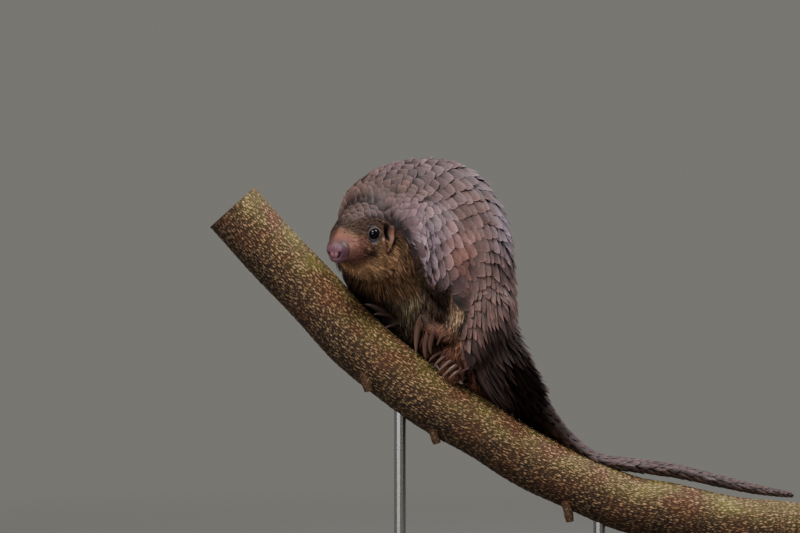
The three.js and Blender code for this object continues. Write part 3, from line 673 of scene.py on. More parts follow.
# %% [markdown]
# ## The ground of the back's scales
# On the animal the rows of scales run on from the back over shoulder and thigh without a break. So the body's
# own sections get one more height: how far outside them the skin lies where a limb swells it. From far
# outside, each point walks inwards by its distance to the nearest skin, again and again, until it touches it.

# %% Height of the skin over the body's sections
GROUND_STEP, GROUND_SIDES = 0.08, 144
GROUND_PLACE = np.arange(6.4, 18.9, GROUND_STEP)
GROUND_ANGLE = np.linspace(-np.pi / 2, 1.5 * np.pi, GROUND_SIDES + 1)
FAR_OUT, WALKS, SMOOTHINGS, CLEARANCE = 34.0, 9, 14, 0.4


def outward(place, angle):
    """The body's surface, and the way to it from its section's middle, turned square to x on the flanks."""
    point = surface(forms["body"], place, angle)
    out = point - surface(forms["body"], place, angle, 0)
    out[..., 0] *= 1 - 0.85 * np.cos(angle) ** 2
    return point, out / np.linalg.norm(out, axis=-1, keepdims=True)


point, out = outward(GROUND_PLACE[:, None], GROUND_ANGLE)
height = np.full(point.shape[:2], FAR_OUT)
for _ in range(WALKS):
    there = point + out * height[..., None] * MM
    height -= np.linalg.norm(on_skin(there)[0] - there, axis=-1) / MM
# The heights are evened out, but never below the skin, so that no row of scales dips between limb and trunk.
smooth = height.copy()
for _ in range(SMOOTHINGS):
    smooth[:, -1] = smooth[:, 0]
    wide = np.concatenate([smooth[:, -2:-1], smooth, smooth[:, 1:2]], 1)
    smooth = (wide[:, :-2] + 2 * wide[:, 1:-1] + wide[:, 2:]) / 4
    tall = np.concatenate([smooth[:1], smooth, smooth[-1:]])
    smooth = (tall[:-2] + 2 * tall[1:-1] + tall[2:]) / 4
GROUND = np.maximum(smooth, height) + CLEARANCE
print(f"the limbs lift the skin by up to {GROUND.max():.0f} mm")


def ground(place, angle):
    """The skin under the back's scales: the body's surface plus the height read between four grid points."""
    row = np.clip((place - GROUND_PLACE[0]) / GROUND_STEP, 0, len(GROUND_PLACE) - 1.001)
    turn = ((angle + np.pi / 2) % (2 * np.pi)) / (2 * np.pi) * GROUND_SIDES
    i, j = row.astype(int), np.minimum(turn.astype(int), GROUND_SIDES - 1)
    f, g = row - i, turn - j
    high = (GROUND[i, j] * (1 - f) * (1 - g) + GROUND[i + 1, j] * f * (1 - g)
            + GROUND[i, j + 1] * (1 - f) * g + GROUND[i + 1, j + 1] * f * g)
    point, out = outward(place, angle)
    return point + out * high[..., None] * MM


def ground_normal(place, angle):
    """Square to two short steps on the ground, one along and one round, on the outer side."""
    one = ground(place + 0.06, angle) - ground(place - 0.06, angle)
    two = ground(place, angle + 0.03) - ground(place, angle - 0.03)
    normal = np.cross(one, two)
    normal /= np.linalg.norm(normal, axis=-1, keepdims=True)
    return normal * np.sign(np.sum(normal * outward(place, angle)[1], axis=-1, keepdims=True))


# %% One mesh of many like shapes
# Every form has its own rectangle of the unit square: the body above, the limbs in three rows below it.
charts = {"body": (0.02, 0.40, 0.96, 0.58)}
for i, name in enumerate(LIMBS):
    charts[name] = (0.02 + 0.16 * (i % 6), 0.02 + 0.18 * (i // 6), 0.15, 0.17)


def bake_places(name, place, angle):
    """Where a root lies on the unwrap: along the form to the right, and round it upwards."""
    left, low, wide, high = charts[name]
    turn = ((angle + np.pi / 2) / (2 * np.pi)) % 1
    return np.stack([left + wide * place / (len(forms[name]["sections"]) - 1), low + high * turn], -1)


# The width of one scale or lock on the unwrap.
PATCH = 0.003


def coat_piece(name, points, faces, places, patch, colour, extra):
    """One mesh of many like shapes: points (shapes, corners, 3), and faces counted within one shape."""
    count, size = points.shape[:2]
    move = np.arange(count)[:, None, None] * size
    quads = (faces[0][None] + move).reshape(-1, 4)
    tris = (faces[1][None] + move).reshape(-1, 3)
    piece = mesh_object(name, points.reshape(-1, 3), quads, tris)
    spot = (places[:, None] + patch * PATCH).reshape(-1, 2)
    corner = np.concatenate([quads.ravel(), tris.ravel()])
    piece.data.uv_layers.new(name="OFBake").data.foreach_set("uv", spot[corner].astype(np.float32).ravel())
    attribute(piece, "marking", "FLOAT_COLOR", np.concatenate([colour, np.ones((*colour.shape[:2], 1))], -1))
    for key, (kind, values) in extra.items():
        attribute(piece, key, kind, values)
    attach(piece, "root")
    return piece


# %% [markdown]
# ## Scales
# A pangolin's scales are flat plates of keratin that overlap like roof tiles. One scale is a small shield:
# it widens from its root, narrows to its tip, arches across and lifts off the skin towards its tip. Rows are
# set half a scale apart. The number of columns stays the same from the crown to the rump, so scales are small
# on the head, broad on the back and long and narrow on the flank, as on the real animal. One scale could be
# placed many times as an instance, but each must bend with the skin below it, so each has its own corners.

# %% One scale
ALONG = np.array([0, 0.28, 0.52, 0.74, 0.90])
ACROSS = np.linspace(-1, 1, 5)
grid = np.arange(25).reshape(5, 5)
plate_quads = np.concatenate([
    np.stack([grid[:-1, :-1], grid[:-1, 1:], grid[1:, 1:], grid[1:, :-1]], -1).reshape(-1, 4),
    np.stack([grid[:-1, 0], grid[1:, 0], grid[1:, 4], grid[:-1, 4]], -1),
])
plate_tris = np.array([
    (20, 21, 25), (21, 22, 25), (22, 23, 25), (23, 24, 25), (24, 20, 25), (0, 4, 3), (0, 3, 2), (0, 2, 1),
])
plate_u = np.append(np.tile(ACROSS, 5), 0)
plate_v = np.append(np.repeat(ALONG, 5), 1)
WIDEST, SUNK_ROOT = 0.4, 0.35


def shields(*sizes):
    """Across, along and height of each scale's corners in mm; each size holds one value for each scale.

    The width swells by a sine up to the widest place and then falls by a power of the length. The height is
    the lift, which grows towards the tip, plus an arch across, plus a keel, less how far the root is sunk.
    """
    wide, long, crown, lift, sharp, keel = (np.asarray(v)[:, None] for v in sizes)
    u, v = plate_u, plate_v
    t = np.clip((v - WIDEST) / (1 - WIDEST), 0, 1)
    front = np.clip(1 - t ** (2.1 - 0.9 * sharp), 0, None) ** (0.5 + 0.35 * sharp)
    width = np.where(v < WIDEST, 0.75 + 0.25 * np.sin(np.pi / 2 * v / WIDEST), front)
    arch = crown * (1 - u**2) * (0.55 + 0.45 * np.sin(np.pi * np.minimum(v * 1.1, 1))) * (1 - 0.7 * v**6)
    ridge = keel * (1 - np.abs(u)) ** 3 * v * (1 - v**4)
    return u * wide * width, long * v, lift * v**1.5 + arch + ridge - SUNK_ROOT * (1 - v)


print(len(plate_quads) * 2 + len(plate_tris), "triangles in one scale")


# %% Rows and columns of scales
def lattice(form, first, last, pitch, columns, ring_angle=np.pi / 2):
    """Rows at even distances along the back, columns at even distances round it, every second row shifted."""
    fine = np.linspace(first, last, 400)
    line = surface(form, fine, ring_angle)
    run = np.linalg.norm(np.diff(line, axis=0), axis=1) / MM
    count = np.concatenate([[0], np.cumsum(run / pitch((fine[1:] + fine[:-1]) / 2))])
    rows = np.interp(np.arange(int(count[-1]) + 1), count, fine)
    turn = np.linspace(0, 2 * np.pi, 181)
    ring = surface(form, rows[:, None], ring_angle + turn)
    steps = np.linalg.norm(np.diff(ring, axis=1), axis=2)
    reach = np.concatenate([np.zeros((len(rows), 1)), np.cumsum(steps, 1)], 1)
    share = (np.arange(columns) + 0.5 * (np.arange(len(rows)) % 2)[:, None]) / columns
    angle = np.stack([np.interp(part * whole[-1], whole, turn) for part, whole in zip(share, reach)])
    angle = (angle + ring_angle + np.pi / 2) % (2 * np.pi) - np.pi / 2
    place = np.broadcast_to(rows[:, None], angle.shape)
    return place.ravel(), angle.ravel(), np.repeat(reach[:, -1] / MM / columns, columns)


def degrees_up(angle):
    """Degrees of an angle above the animal's side, the same on its left and its right."""
    return np.degrees(np.arcsin(np.sin(angle)))


# %% Where a scale lies, and its tone
# Between shoulder and knee the near side is hairy: no scale ends within these bounds, in mm.
HAIRY_X, HAIRY_Z = (-60, -11), (261, 306)
# On the near flank the pale scales end in a fringe along this line, in mm, and those that end lower are
# painted dark, as shade under the fringe.
FRINGE_X, FRINGE_Z = [-16, -9, 4, 9, 17, 32, 40, 70], [222, 231, 240, 253, 254, 252, 254, 262]


def laid(form, at, turned, along, over):
    """Points on the skin, or on the ground, and their normals; past the last section they run straight on."""
    last = len(form["sections"]) - 1
    base = ground(at, turned) if over else surface(form, at, turned)
    end = surface(form, np.full_like(at, last), turned)
    beyond = np.clip(at - last, 0, None)[..., None] * along[:, None]
    base = np.where((at > last)[..., None], end + beyond, base)
    return (base, ground_normal(at, turned)) if over else on_skin(base)


def scale_tones(root, tip, tone):
    """The marking at the root, times the scale's tone, times some chance in brightness and in warmth.

    The tone and the darkening under the fringe are painted shade on the near side.
    """
    side, tip_x, tip_z = root[:, 1] / MM, tip[:, 0], tip[:, 2]
    near_side = 1 - fade(side, -8, 16)
    fringe = (side < 6) & (tip_x > FRINGE_X[0]) & (tip_x < FRINGE_X[-1])
    # Painted shade: scales that end below the fringe on the near side are darker.
    sunk = fringe & (tip_z < np.interp(tip_x, FRINGE_X, FRINGE_Z))
    shade = (1 - (1 - tone) * near_side) * dice.uniform(0.7, 1.3, len(root)) * np.where(sunk, 0.45, 1)
    warmth = 1 + dice.normal(0, 0.028, (len(root), 1)) * [1, 0, -1]
    return scale_colour(root) * shade[:, None] * warmth


# %% Laying the scales
def lay_scales(name, form_name, place, angle, wide, long, crown, lift, sharp, keel=0.0, turn=0.0,
               over=False, tone=1.0):
    """Shields pulled onto the skin, or laid over body and limbs on the ground.

    A corner lies as far along and round the form as it lies along and across its shield, and it stands off
    along the normal by its height. Some chance in size and yaw keeps any two scales from being alike.
    """
    form = forms[form_name]
    point, along, round_ = frame_at(form, place, angle)
    root = ground(place, angle) if over else on_skin(point)[0]
    seen = over | (np.linalg.norm(root - point, axis=1) < 2.5 * MM)
    sizes = (wide, long, crown, lift, sharp, keel, tone)
    wide, long, crown, lift, sharp, keel, tone = (np.broadcast_to(v, len(place))[seen] for v in sizes)
    place, angle, along, round_, root = place[seen], angle[seen], along[seen], round_[seen], root[seen]
    count = len(place)
    x, y, z = shields(
        wide * dice.uniform(0.95, 1.06, count), long * dice.uniform(0.92, 1.08, count), crown,
        lift * dice.uniform(0.75, 1.25, count), sharp, keel,
    )
    yaw = turn + dice.normal(0, 0.07, count)[:, None]
    x, y = x * np.cos(yaw) + y * np.sin(yaw), y * np.cos(yaw) - x * np.sin(yaw)
    at = place[:, None] + y * MM / np.linalg.norm(along, axis=1)[:, None]
    turned = angle[:, None] - x * MM / np.linalg.norm(round_, axis=1)[:, None]
    base, normal = laid(form, at, turned, along, over)
    points = base + normal * z[..., None] * MM
    tip = points[:, -1] / MM
    hairy = (tip[:, 0] >= HAIRY_X[0]) & (tip[:, 0] <= HAIRY_X[1]) & (tip[:, 1] <= 0)
    kept = ~(hairy & (tip[:, 2] >= HAIRY_Z[0]) & (tip[:, 2] <= HAIRY_Z[1]))
    colour = scale_tones(root[kept], tip[kept], tone[kept])
    points, place, angle, count = points[kept], place[kept], angle[kept], int(kept.sum())
    colour = np.repeat(colour[:, None], len(plate_u), 1)
    number = np.repeat(dice.random(count)[:, None], len(plate_u), 1)
    plate = np.stack([np.tile(plate_u, (count, 1)), np.tile(plate_v, (count, 1)), number], -1)
    patch = np.stack([plate_v - 0.5, plate_u / 2], -1)
    places = bake_places(form_name, place, angle)
    piece = coat_piece(name, points, (plate_quads, plate_tris), places, patch, colour,
                       {"plate": ("FLOAT_VECTOR", plate)})
    piece.data.set_sharp_from_angle(angle=np.radians(50))
    print(name, count, "scales")
    return piece


# %% Crown, back and flanks
def low_edge(place):
    """How many degrees above the side the scales end, from the forehead to the root of the tail."""
    return np.interp(place, [3.6, 4.6, 5.6, 6.6, 7.3, 8.2, 9, 10, 12, 14, 16.5, 18.5],
                     [72, 56, 42, 22, 2, -16, -24, -26, -28, -38, -48, -90])


def back_pitch(place):
    """Distance in mm from one row of the back's scales to the next: longest in the middle of the back."""
    return np.interp(place, [6, 8, 10, 13, 17, 18.6], [6.5, 8.0, 9.6, 10.6, 9.6, 8.0])


def crown_pitch(place):
    """The same distance on the crown, where the scales are smallest."""
    return np.interp(place, [3.6, 5, 7.4], [4.4, 5.2, 6.6])


place, angle, pitch = lattice(forms["body"], 3.9, 7.5, crown_pitch, 21)
keep = degrees_up(angle) > low_edge(place)
place, angle, pitch = place[keep], angle[keep], pitch[keep]
collar = fade(place, 6.6, 7.3)
scales = [lay_scales(
    "scales_of_the_crown", "body", place, angle,
    wide=pitch * 0.64, long=crown_pitch(place) * (1.9 + 0.5 * collar),
    crown=0.6, lift=1.5 + 1.6 * collar, sharp=0.35 + 0.2 * collar,
)]
place, angle, pitch = lattice(forms["body"], 6.9, 18.7, back_pitch, 33)
keep = degrees_up(angle) > low_edge(place)
place, angle, pitch = place[keep], angle[keep], pitch[keep]
flank = fade(place, 13.0, 16.0) * (1 - fade(degrees_up(angle), 40, 80))
rear = fade(place, 11.5, 13.5)
shoulder = fade(place, 7.6, 8.6) * (1 - fade(place, 12, 13.2)) * (1 - fade(degrees_up(angle), 25, 50))
# The tone paints shade on the rear of the back, towards the root of the tail, on the near side.
scales.append(lay_scales(
    "scales_of_the_back", "body", place, angle,
    wide=pitch * (0.66 - 0.20 * flank),
    long=back_pitch(place) * (2.15 + 1.1 * flank),
    crown=np.interp(place, [4, 8, 12], [0.5, 0.9, 1.5]),
    lift=np.interp(place, [7, 9, 12, 17], [2.4, 3.4, 6.2, 6.8]) * (1 - 0.5 * shoulder),
    sharp=np.clip(np.interp(place, [4, 9, 14, 17], [0.3, 0.5, 0.6, 1.0]) + 0.3 * flank, 0, 1),
    keel=0.6 * flank + 0.3 * rear, over=True, tone=1 - 0.65 * fade(place, 16.6, 17.8),
))


# %% Tail
def tail_pitch(place):
    """Distance in mm from one row of the tail's scales to the next: shorter towards the tip."""
    return np.interp(place, [16.6, 19, 22, 25, 27], [9.5, 9.5, 8.5, 7.5, 5.0])


place, angle, pitch = lattice(forms["body"], 16.8, 26.9, tail_pitch, 16)
edge = bell(degrees_up(angle), 28)
# The tone paints shade: darkest at the root of the tail, and a little darker all along its near side.
scales.append(lay_scales(
    "scales_of_the_tail", "body", place, angle,
    wide=pitch * 0.66,
    long=tail_pitch(place) * (2.0 + 0.35 * edge),
    crown=np.interp(place, [17, 24, 27], [1.2, 0.8, 0.5]),
    lift=np.interp(place, [17, 21, 27], [3.6, 2.4, 1.2]),
    sharp=0.45 + 0.5 * edge, keel=0.5, tone=0.35 + 0.5 * fade(place, 19.0, 22.6),
))

# %% Upper arms, thighs and elbows
# For each: first and last section, row distance, columns, lift, width, length and sharpness.
LIMB_SCALES = {
    "upper_arm": (2.6, 3.9, 7.5, 18, 2.4, 0.64, 2.1, 0.5),
    "thigh": (1.5, 3.9, 9.0, 22, 3.2, 0.60, 2.8, 1.0),
    "forearm": (0.0, 0.7, 4.5, 15, 1.2, 0.66, 2.0, 0.4),
}
# The upper arms' scales lean out from the arm's line, by so many radians.
ARM_TURN = {"upper_arm_left": -0.6, "upper_arm_right": 0.6}
for form_name in LIMBS:
    kind = form_name.rsplit("_", 1)[0]
    if kind not in LIMB_SCALES:
        continue
    first, last, step, columns, rise, breadth, length, point = LIMB_SCALES[kind]
    place, angle, pitch = lattice(forms[form_name], first, last, lambda p: 0 * p + step, columns, 0)
    outside = np.cos(angle) * (1 if form_name.endswith("left") else -1)
    front = np.sin(angle) < -0.55
    keep = (outside > (-0.6 if kind != "forearm" else 0.0)) & ~(front & (place > 2.9))
    place, angle, pitch = place[keep], angle[keep], pitch[keep]
    scales.append(lay_scales(
        f"scales_of_the_{form_name}", form_name, place, angle,
        wide=pitch * breadth, long=step * length, crown=1.1, lift=rise, sharp=point,
        keel=0.6 if kind == "thigh" else 0.2, turn=ARM_TURN.get(form_name, 0.0),
    ))

# %% [markdown]
# ## Fur
# Hair grows where the scales end: very short on the snout, longer on cheek and throat, sparse on belly and
# legs. Hair curves and particles are lost on export, so each lock is a thin, three-sided mesh that tapers to
# a point. Locks lean along the body and sag a little, and neighbours draw together at their tips.

# %% One lock
ring = np.arange(3)
LOCK_ALONG = np.array([0, 0.36, 0.72, 1])
next_ring = (ring + 1) % 3
lock_quads = np.concatenate([
    np.stack([3 * i + ring, 3 * i + 3 + ring, 3 * i + 3 + next_ring, 3 * i + next_ring], -1) for i in range(2)
])
lock_tris = np.concatenate([np.stack([6 + ring, 9 + 0 * ring, 6 + next_ring], -1), [(0, 1, 2)]])
lock_v = np.append(np.repeat(LOCK_ALONG[:3], 3), 1)
lock_turn = np.append(np.tile(np.radians([90, 210, 330]), 3), 0)
lock_size = np.array([1, 0.95, 0.6])[np.append(np.repeat(range(3), 3), 0)] * (lock_v < 1)


def sow(form_name, first, last, per_mm2, count):
    """Random places on a form, kept so that per_mm2(place, angle) of them stand on each square millimetre."""
    place = dice.uniform(first, last, count)
    angle = dice.uniform(-np.pi / 2, 1.5 * np.pi, count)
    _, along, round_ = frame_at(forms[form_name], place, angle)
    area = np.linalg.norm(np.cross(along, round_), axis=1) / MM**2 * (last - first) * 2 * np.pi / count
    keep = dice.random(count) < per_mm2(place, angle) * area
    return place[keep], angle[keep]


# %% How locks lie and gather
# Fur keeps so many mm clear of the eye's middle, and each tip is drawn a share of the way to its tuft.
EYE_CLEAR, CLUMP = 8.6, 0.6


def combed(root, along, normal, sag):
    """Along the form, less the sag, outwards on the cheeks, with some chance, then pressed to the skin."""
    back, left, up = in_head(root)
    swept = 1.2 * head_mask(root) * fade(back, 26, 36) * (1 - fade(up, -8, 2))
    swept = swept * fade(abs(left), 3, 12) * np.sign(left)
    lie = along / np.linalg.norm(along, axis=1, keepdims=True) - sag * np.array([0, 0, 1])
    lie += swept[:, None] * LEFT + dice.normal(0, 0.16, (len(root), 3))
    outwards = np.sum(lie * normal, axis=1, keepdims=True)
    lie -= normal * (outwards - 0.6 * np.maximum(outwards, 0))
    return lie / np.linalg.norm(lie, axis=1, keepdims=True)


def tufts_of(place, angle, cell):
    """The number of each lock's tuft: a tuft is one cell of a grid of places and angles."""
    cells = np.stack([np.floor(place * cell[0]), np.floor(angle * cell[1])], 1)
    return np.unique(cells, axis=0, return_inverse=True)[1].ravel()


# %% Growing the fur
def grow_fur(name, form_name, place, angle, long, thick, sag, rise, cell=(7, 5), gap=3.0):
    """Locks at these places: long and thick in mm, sag towards the ground, and rise off the skin.

    A lock's middle line runs the way it is combed, plus a sine off the skin, plus the pull towards its tuft,
    less the drop under its weight. Three corners stand round that line and close up towards the tip.
    """
    point, along, _ = frame_at(forms[form_name], place, angle)
    root, normal = on_skin(point)
    slit, front, rear = ear_masks(root)
    keep = (np.linalg.norm(root - point, axis=1) < gap * MM) & (eye_distance(root) > EYE_CLEAR)
    keep &= (np.maximum(slit, np.maximum(front, rear)) < 0.08) | (in_head(root)[0] > 86)
    place, angle, along, root, normal = place[keep], angle[keep], along[keep], root[keep], normal[keep]
    count = len(place)
    long, thick, sag, rise = (np.broadcast_to(v, len(keep))[keep][:, None] for v in (long, thick, sag, rise))
    back, _, up = in_head(root)
    long = np.minimum(long, (1.6 + 0.45 * (eye_distance(root) - EYE_CLEAR))[:, None])
    long = long * (1 - 0.85 * bell(back - 57, 9) * bell(up + 3, 13))[:, None]
    long = long * dice.uniform(0.75, 1.2, (count, 1)) * MM
    lie = combed(root, along, normal, sag)
    member = tufts_of(place, angle, cell)
    share = np.bincount(member)
    middle = np.stack([np.bincount(member, root[:, i]) / share for i in range(3)], 1)[member]
    across = np.cross(lie, normal)
    v, turn, size = lock_v[:, None], lock_turn[:, None], lock_size[:, None]
    pull = CLUMP * (middle - root) * np.minimum(1, long / (6 * MM))
    drop = np.array([0, 0, -0.22]) * sag[:, None] * long[:, None] * v**2
    height = rise[:, None] * long[:, None] * np.sin(v * 2.2)
    spine = (root[:, None] - normal[:, None] * 0.2 * MM + lie[:, None] * long[:, None] * v
             + normal[:, None] * height + pull[:, None] * v**1.5 + drop)
    rim = across[:, None] * np.cos(turn) + normal[:, None] * np.sin(turn) * 0.7
    points = spine + rim * size * thick[:, None] * MM
    tuft = dice.normal(1, 0.22, len(share))[member][:, None, None]
    # Dark roots and light tips: partly the hair's own tone, partly painted shade within the fur.
    shade = (tuft * dice.normal(1, 0.36, (count, 1, 1))).clip(0.35, 2.4) * (0.42 + 1.25 * v)
    # Painted shade on fur that faces down, except on the head.
    painted_underside_shade = 0.3 + 0.7 * np.maximum(fade(normal[:, 2], -0.75, 0.1), head_mask(root))
    colour = fur_colour(root)[:, None] * shade * painted_underside_shade[:, None, None]
    patch = np.stack([lock_v - 0.5, np.cos(lock_turn) / 2], -1)
    places = bake_places(form_name, place, angle)
    piece = coat_piece(name, points, (lock_quads, lock_tris), places, patch, colour, {})
    print(name, count, "locks")
    return piece


# %% Face and throat
def furred(place, angle):
    """1 below the edge of the scales, and 1 all round in front of them."""
    below = 1 - fade(degrees_up(angle) - low_edge(place), 2, 12)
    return np.where(place < 3.9, 1.0, below)


FUR_PLACES = [1.9, 3.0, 3.8, 4.6, 5.4, 6.4, 7.4, 8.6, 10, 12, 15, 18.6]
FUR_LENGTHS = [0.8, 3.0, 7.5, 11, 13.5, 15.5, 17, 18, 20, 18, 13, 7]
FUR_DENSITY = [0.5, 1.0, 1.1, 1.0, 0.95, 0.9, 0.8, 0.7, 0.5, 0.4, 0.35, 0.3]
FUR_PIECES = [
    ("fur_of_the_face", 1.9, 5.2, 30000), ("fur_of_the_cheeks", 5.2, 7.6, 36000),
    ("fur_of_the_throat", 7.6, 10.2, 40000), ("fur_of_the_belly", 10.2, 18.6, 60000),
]
fur = []
for name, first, last, count in FUR_PIECES:
    place, angle = sow("body", first, last,
                       lambda s, a: np.interp(s, FUR_PLACES, FUR_DENSITY) * furred(s, a), count)
    top = fade(degrees_up(angle), 10, 50) * (1 - fade(place, 3.6, 4.4))
    fur.append(grow_fur(
        name, "body", place, angle,
        long=np.interp(place, FUR_PLACES, FUR_LENGTHS) * (1 - 0.2 * top),
        thick=np.interp(place, [2, 4, 7, 10], [0.17, 0.28, 0.42, 0.46]),
        sag=np.interp(place, [2, 4, 6, 8, 11], [0.2, 0.6, 1.0, 1.1, 1.3]),
        rise=np.interp(place, [2, 4, 6, 8, 11], [0.16, 0.28, 0.34, 0.36, 0.34]), gap=7.0,
    ))

# %% Limbs
# For each kind of limb: locks on a square millimetre, length, thickness, and where the fur starts.
LIMB_FUR = {
    "upper_arm": (0.7, 9, 0.42, 0.5), "forearm": (0.9, 7, 0.36, 0.2), "thigh": (0.5, 8, 0.4, 0.5),
    "shank": (1.0, 8.0, 0.36, 0.2), "forepaw": (0.8, 2.6, 0.22, 0.0), "hind_foot": (1.1, 6.0, 0.34, 0.0),
}
SCALED = ("upper_arm", "thigh")


def hairy_part(kind, out, place, angle):
    """True all over a limb without scales; on a scaled one only on its inner side and low on its front."""
    inside = (np.cos(angle) * out < -0.35) | ((np.sin(angle) < -0.1) & (place > 1.4))
    return inside | (kind not in SCALED)


for form_name in LIMBS:
    kind = form_name.rsplit("_", 1)[0]
    per_mm2, long, thick, first = LIMB_FUR[kind]
    out = 1 if form_name.endswith("left") else -1
    last = len(forms[form_name]["sections"]) - 1
    place, angle = sow(form_name, first, last, lambda s, a: per_mm2 * hairy_part(kind, out, s, a), 14000)
    fur.append(grow_fur(f"fur_of_the_{form_name}", form_name, place, angle,
                        long=long, thick=thick, sag=0.3, rise=0.16, cell=(4, 3)))

# %% [markdown]
# ## Colours on the skin
# Beneath the scales the skin takes their colour, and beneath the fur the fur's. Both are darker there, as
# they lie in shadow, so a gap in the coat never shows as a bright spot. The colours are kept as one value
# for each corner of the mesh: the head's faces are fine enough for them, and no picture has to be baked.

# %% The skin's markings
points, normals = corners_of(skin.data), normals_of(skin.data)
back, left, up = in_head(points)
on = head_mask(points)
bare = np.maximum(on * (1 - fade(up - 0.28 * (60 - back), 0, 10)), on * (1 - fade(back, 22, 30)))
under = (1 - on) * fade(-normals[:, 2], 0.1, 0.5) * (points[:, 0] < 45 * MM)
paws = (1 - on) * (1 - fade(points[:, 2] / MM, 285, 300)) * (points[:, 0] < 20 * MM)
furry = np.clip(bare + under + paws, 0, 1)[:, None]
# Painted shade on the skin under the fur, from the cheek back.
deep = 1 - 0.45 * fade(back, 26, 40)[:, None]
# Painted shade where the skin faces down, except on the head.
painted_underside_shade = (0.3 + 0.7 * np.maximum(fade(normals[:, 2], -0.75, 0.1), on))[:, None]
colour = fur_colour(points) * furry * deep * painted_underside_shade + scale_colour(points) * (1 - furry) * 0.4
attribute(skin, "marking", "FLOAT_COLOR", np.concatenate([colour, np.ones((len(points), 1))], 1))
attribute(skin, "wet", "FLOAT", on * (1 - fade(back, 9, 12)))
print(f"{furry.mean():.0%} of the skin's corners have the colour of fur")

# %% [markdown]
# ## Claws
# Each claw is a curved horn. It leaves the toe in the toe's own direction and bows down to its tip, so its
# middle line is a parabola drawn by three points, and its ellipses shrink towards the tip. A bent cone would
# do from afar, but it would be round, and a digging claw is higher than it is wide.


# %% Twenty claws
CLAW_ROWS, CLAW_SIDES = 22, 14


def claw_sections(root, knuckle, tip, radius):
    """Ellipses along (1-t)^2 start + 2t(1-t) middle + t^2 tip; the middle is pushed on the toe's way."""
    root, knuckle, tip = (np.array(v, float) for v in (root, knuckle, tip))
    start = knuckle + 0.15 * (root - knuckle)
    reach = tip - start
    bow = (knuckle - root) / np.linalg.norm(knuckle - root) * np.linalg.norm(reach) * 0.22
    middle = start + 0.45 * reach + bow
    t = np.linspace(0, 1, 9)[:, None]
    line = (1 - t) ** 2 * start + 2 * t * (1 - t) * middle + t**2 * tip
    size = radius * np.interp(t, [0, 0.25, 0.5, 0.75, 0.92, 1], [1.02, 1, 0.86, 0.6, 0.36, 0.16])
    return square_sections(np.concatenate([line, size, size * 0.8], 1))


claws = []
for foot, toes in TOES.items():
    stem = foot.replace("_foot", "_claw").replace("paw", "_claw")
    for i, toe in enumerate(toes, 1):
        horn = {"sections": claw_sections(*toe), "depth": ([0, 1], [0, 0])}
        shape = tube(horn, 0, 8, CLAW_ROWS, CLAW_SIDES, dome_first=0.6, dome_last=0.5)
        points, quads, tris = closed(shape)
        claw = mesh_object(f"{stem}_{i}_horn", points, quads, tris)
        down = np.append(np.repeat(np.linspace(0, 1, len(shape)), CLAW_SIDES), [0, 1])
        turn = 2 * np.pi * np.append(np.tile(np.arange(CLAW_SIDES) / CLAW_SIDES, len(shape)), [0, 0])
        attribute(claw, "along", "FLOAT_VECTOR", np.stack([down, np.cos(turn), np.sin(turn)], 1))
        # Painted shade: the far forepaw's claws are darker.
        claw_shade = 0.3 if stem == "fore_claw_right" else 1.0
        attribute(claw, "claw_shade", "FLOAT", np.full(len(points), claw_shade))
        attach(claw, "root")
        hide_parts(f"{stem}_{i}")
        claws.append(claw)
print(len(claws), "claws")

# %% [markdown]
# ## Eyes
# A pangolin's eye is small, dark and wet. The ball has a clear bulge over the pupil, which catches the key
# light as one bright spot. A plain sphere would spread that spot, so the radius is a formula of the angle to
# the eye's axis.

# %% Two eyeballs
BALL_ROWS, BALL_SIDES = 40, 48
balls = []
for side, eye, direction in zip(("left", "right"), eyes, EYE_AXES):
    axis, across, over = eye_frame(direction)
    polar = np.linspace(0.06, np.pi - 0.06, BALL_ROWS)[:, None, None]
    turn = np.linspace(0, 2 * np.pi, BALL_SIDES, endpoint=False)[None, :, None]
    radius = (EYE_RADIUS + 0.25 * bell(polar, 0.75) - 0.1) * MM
    spoke = np.cos(turn) * across - np.sin(turn) * over
    grid = eye + radius * (np.cos(polar) * axis + np.sin(polar) * spoke)
    points, quads, tris = closed(grid)
    ball = mesh_object(f"eyeball_{side}", points, quads, tris)
    attribute(ball, "polar", "FLOAT", np.append(np.repeat(polar.ravel(), BALL_SIDES), [0, np.pi]))
    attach(ball, "root")
    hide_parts(f"eye_{side}")
    balls.append(ball)
print(f"{len(balls)} eyeballs, {2 * EYE_RADIUS:.1f} mm across")

# %% [markdown]
# ## The branch
# The perch is a length of live branch, as thick as a wrist. Its bark is covered by small raised pores, longer
# than wide and set close together. A height picture could draw them, but it would have to be made first. So a
# tube follows the branch's curve, and the beads of a jittered grid lift its surface. The cut ends are flat,
# with a ring of bark round pale wood.

# %% Bark
BARK_ROWS, BARK_SIDES = 430, 208
PORE_LONG, PORE_WIDE, PORE_HIGH = 5.6, 2.4, 0.75
GIRTH = 186.0
bark_sections = square_sections([(x, 0, z, r, r) for x, z, r in BRANCH])
bark_form = {"sections": bark_sections, "depth": ([0, 1], [0.5, 0.5])}


def beads(along, round_, long, wide, around):
    """Height at the nearest bead of a grid whose beads are moved at random; it closes after around mm."""
    columns = int(round(around / wide))
    wide = around / columns
    rows = int(along.max() / long) + 3
    jitter = dice.uniform(0.15, 0.85, (rows, columns, 2))
    strength = dice.uniform(0.35, 1.0, (rows, columns))
    row, column = np.floor(along / long).astype(int), np.floor(round_ / wide).astype(int)
    height = np.zeros_like(along)
    for i in (-1, 0, 1):
        for j in (-1, 0, 1):
            r, c = np.clip(row + i, 0, rows - 1), (column + j) % columns
            da = along - (row + i + jitter[r, c, 0]) * long
            dr = round_ - (column + j + jitter[r, c, 1]) * wide
            off = (da / (0.34 * long)) ** 2 + (dr / (0.30 * wide)) ** 2
            height = np.maximum(height, strength[r, c] * np.exp(-off))
    return height


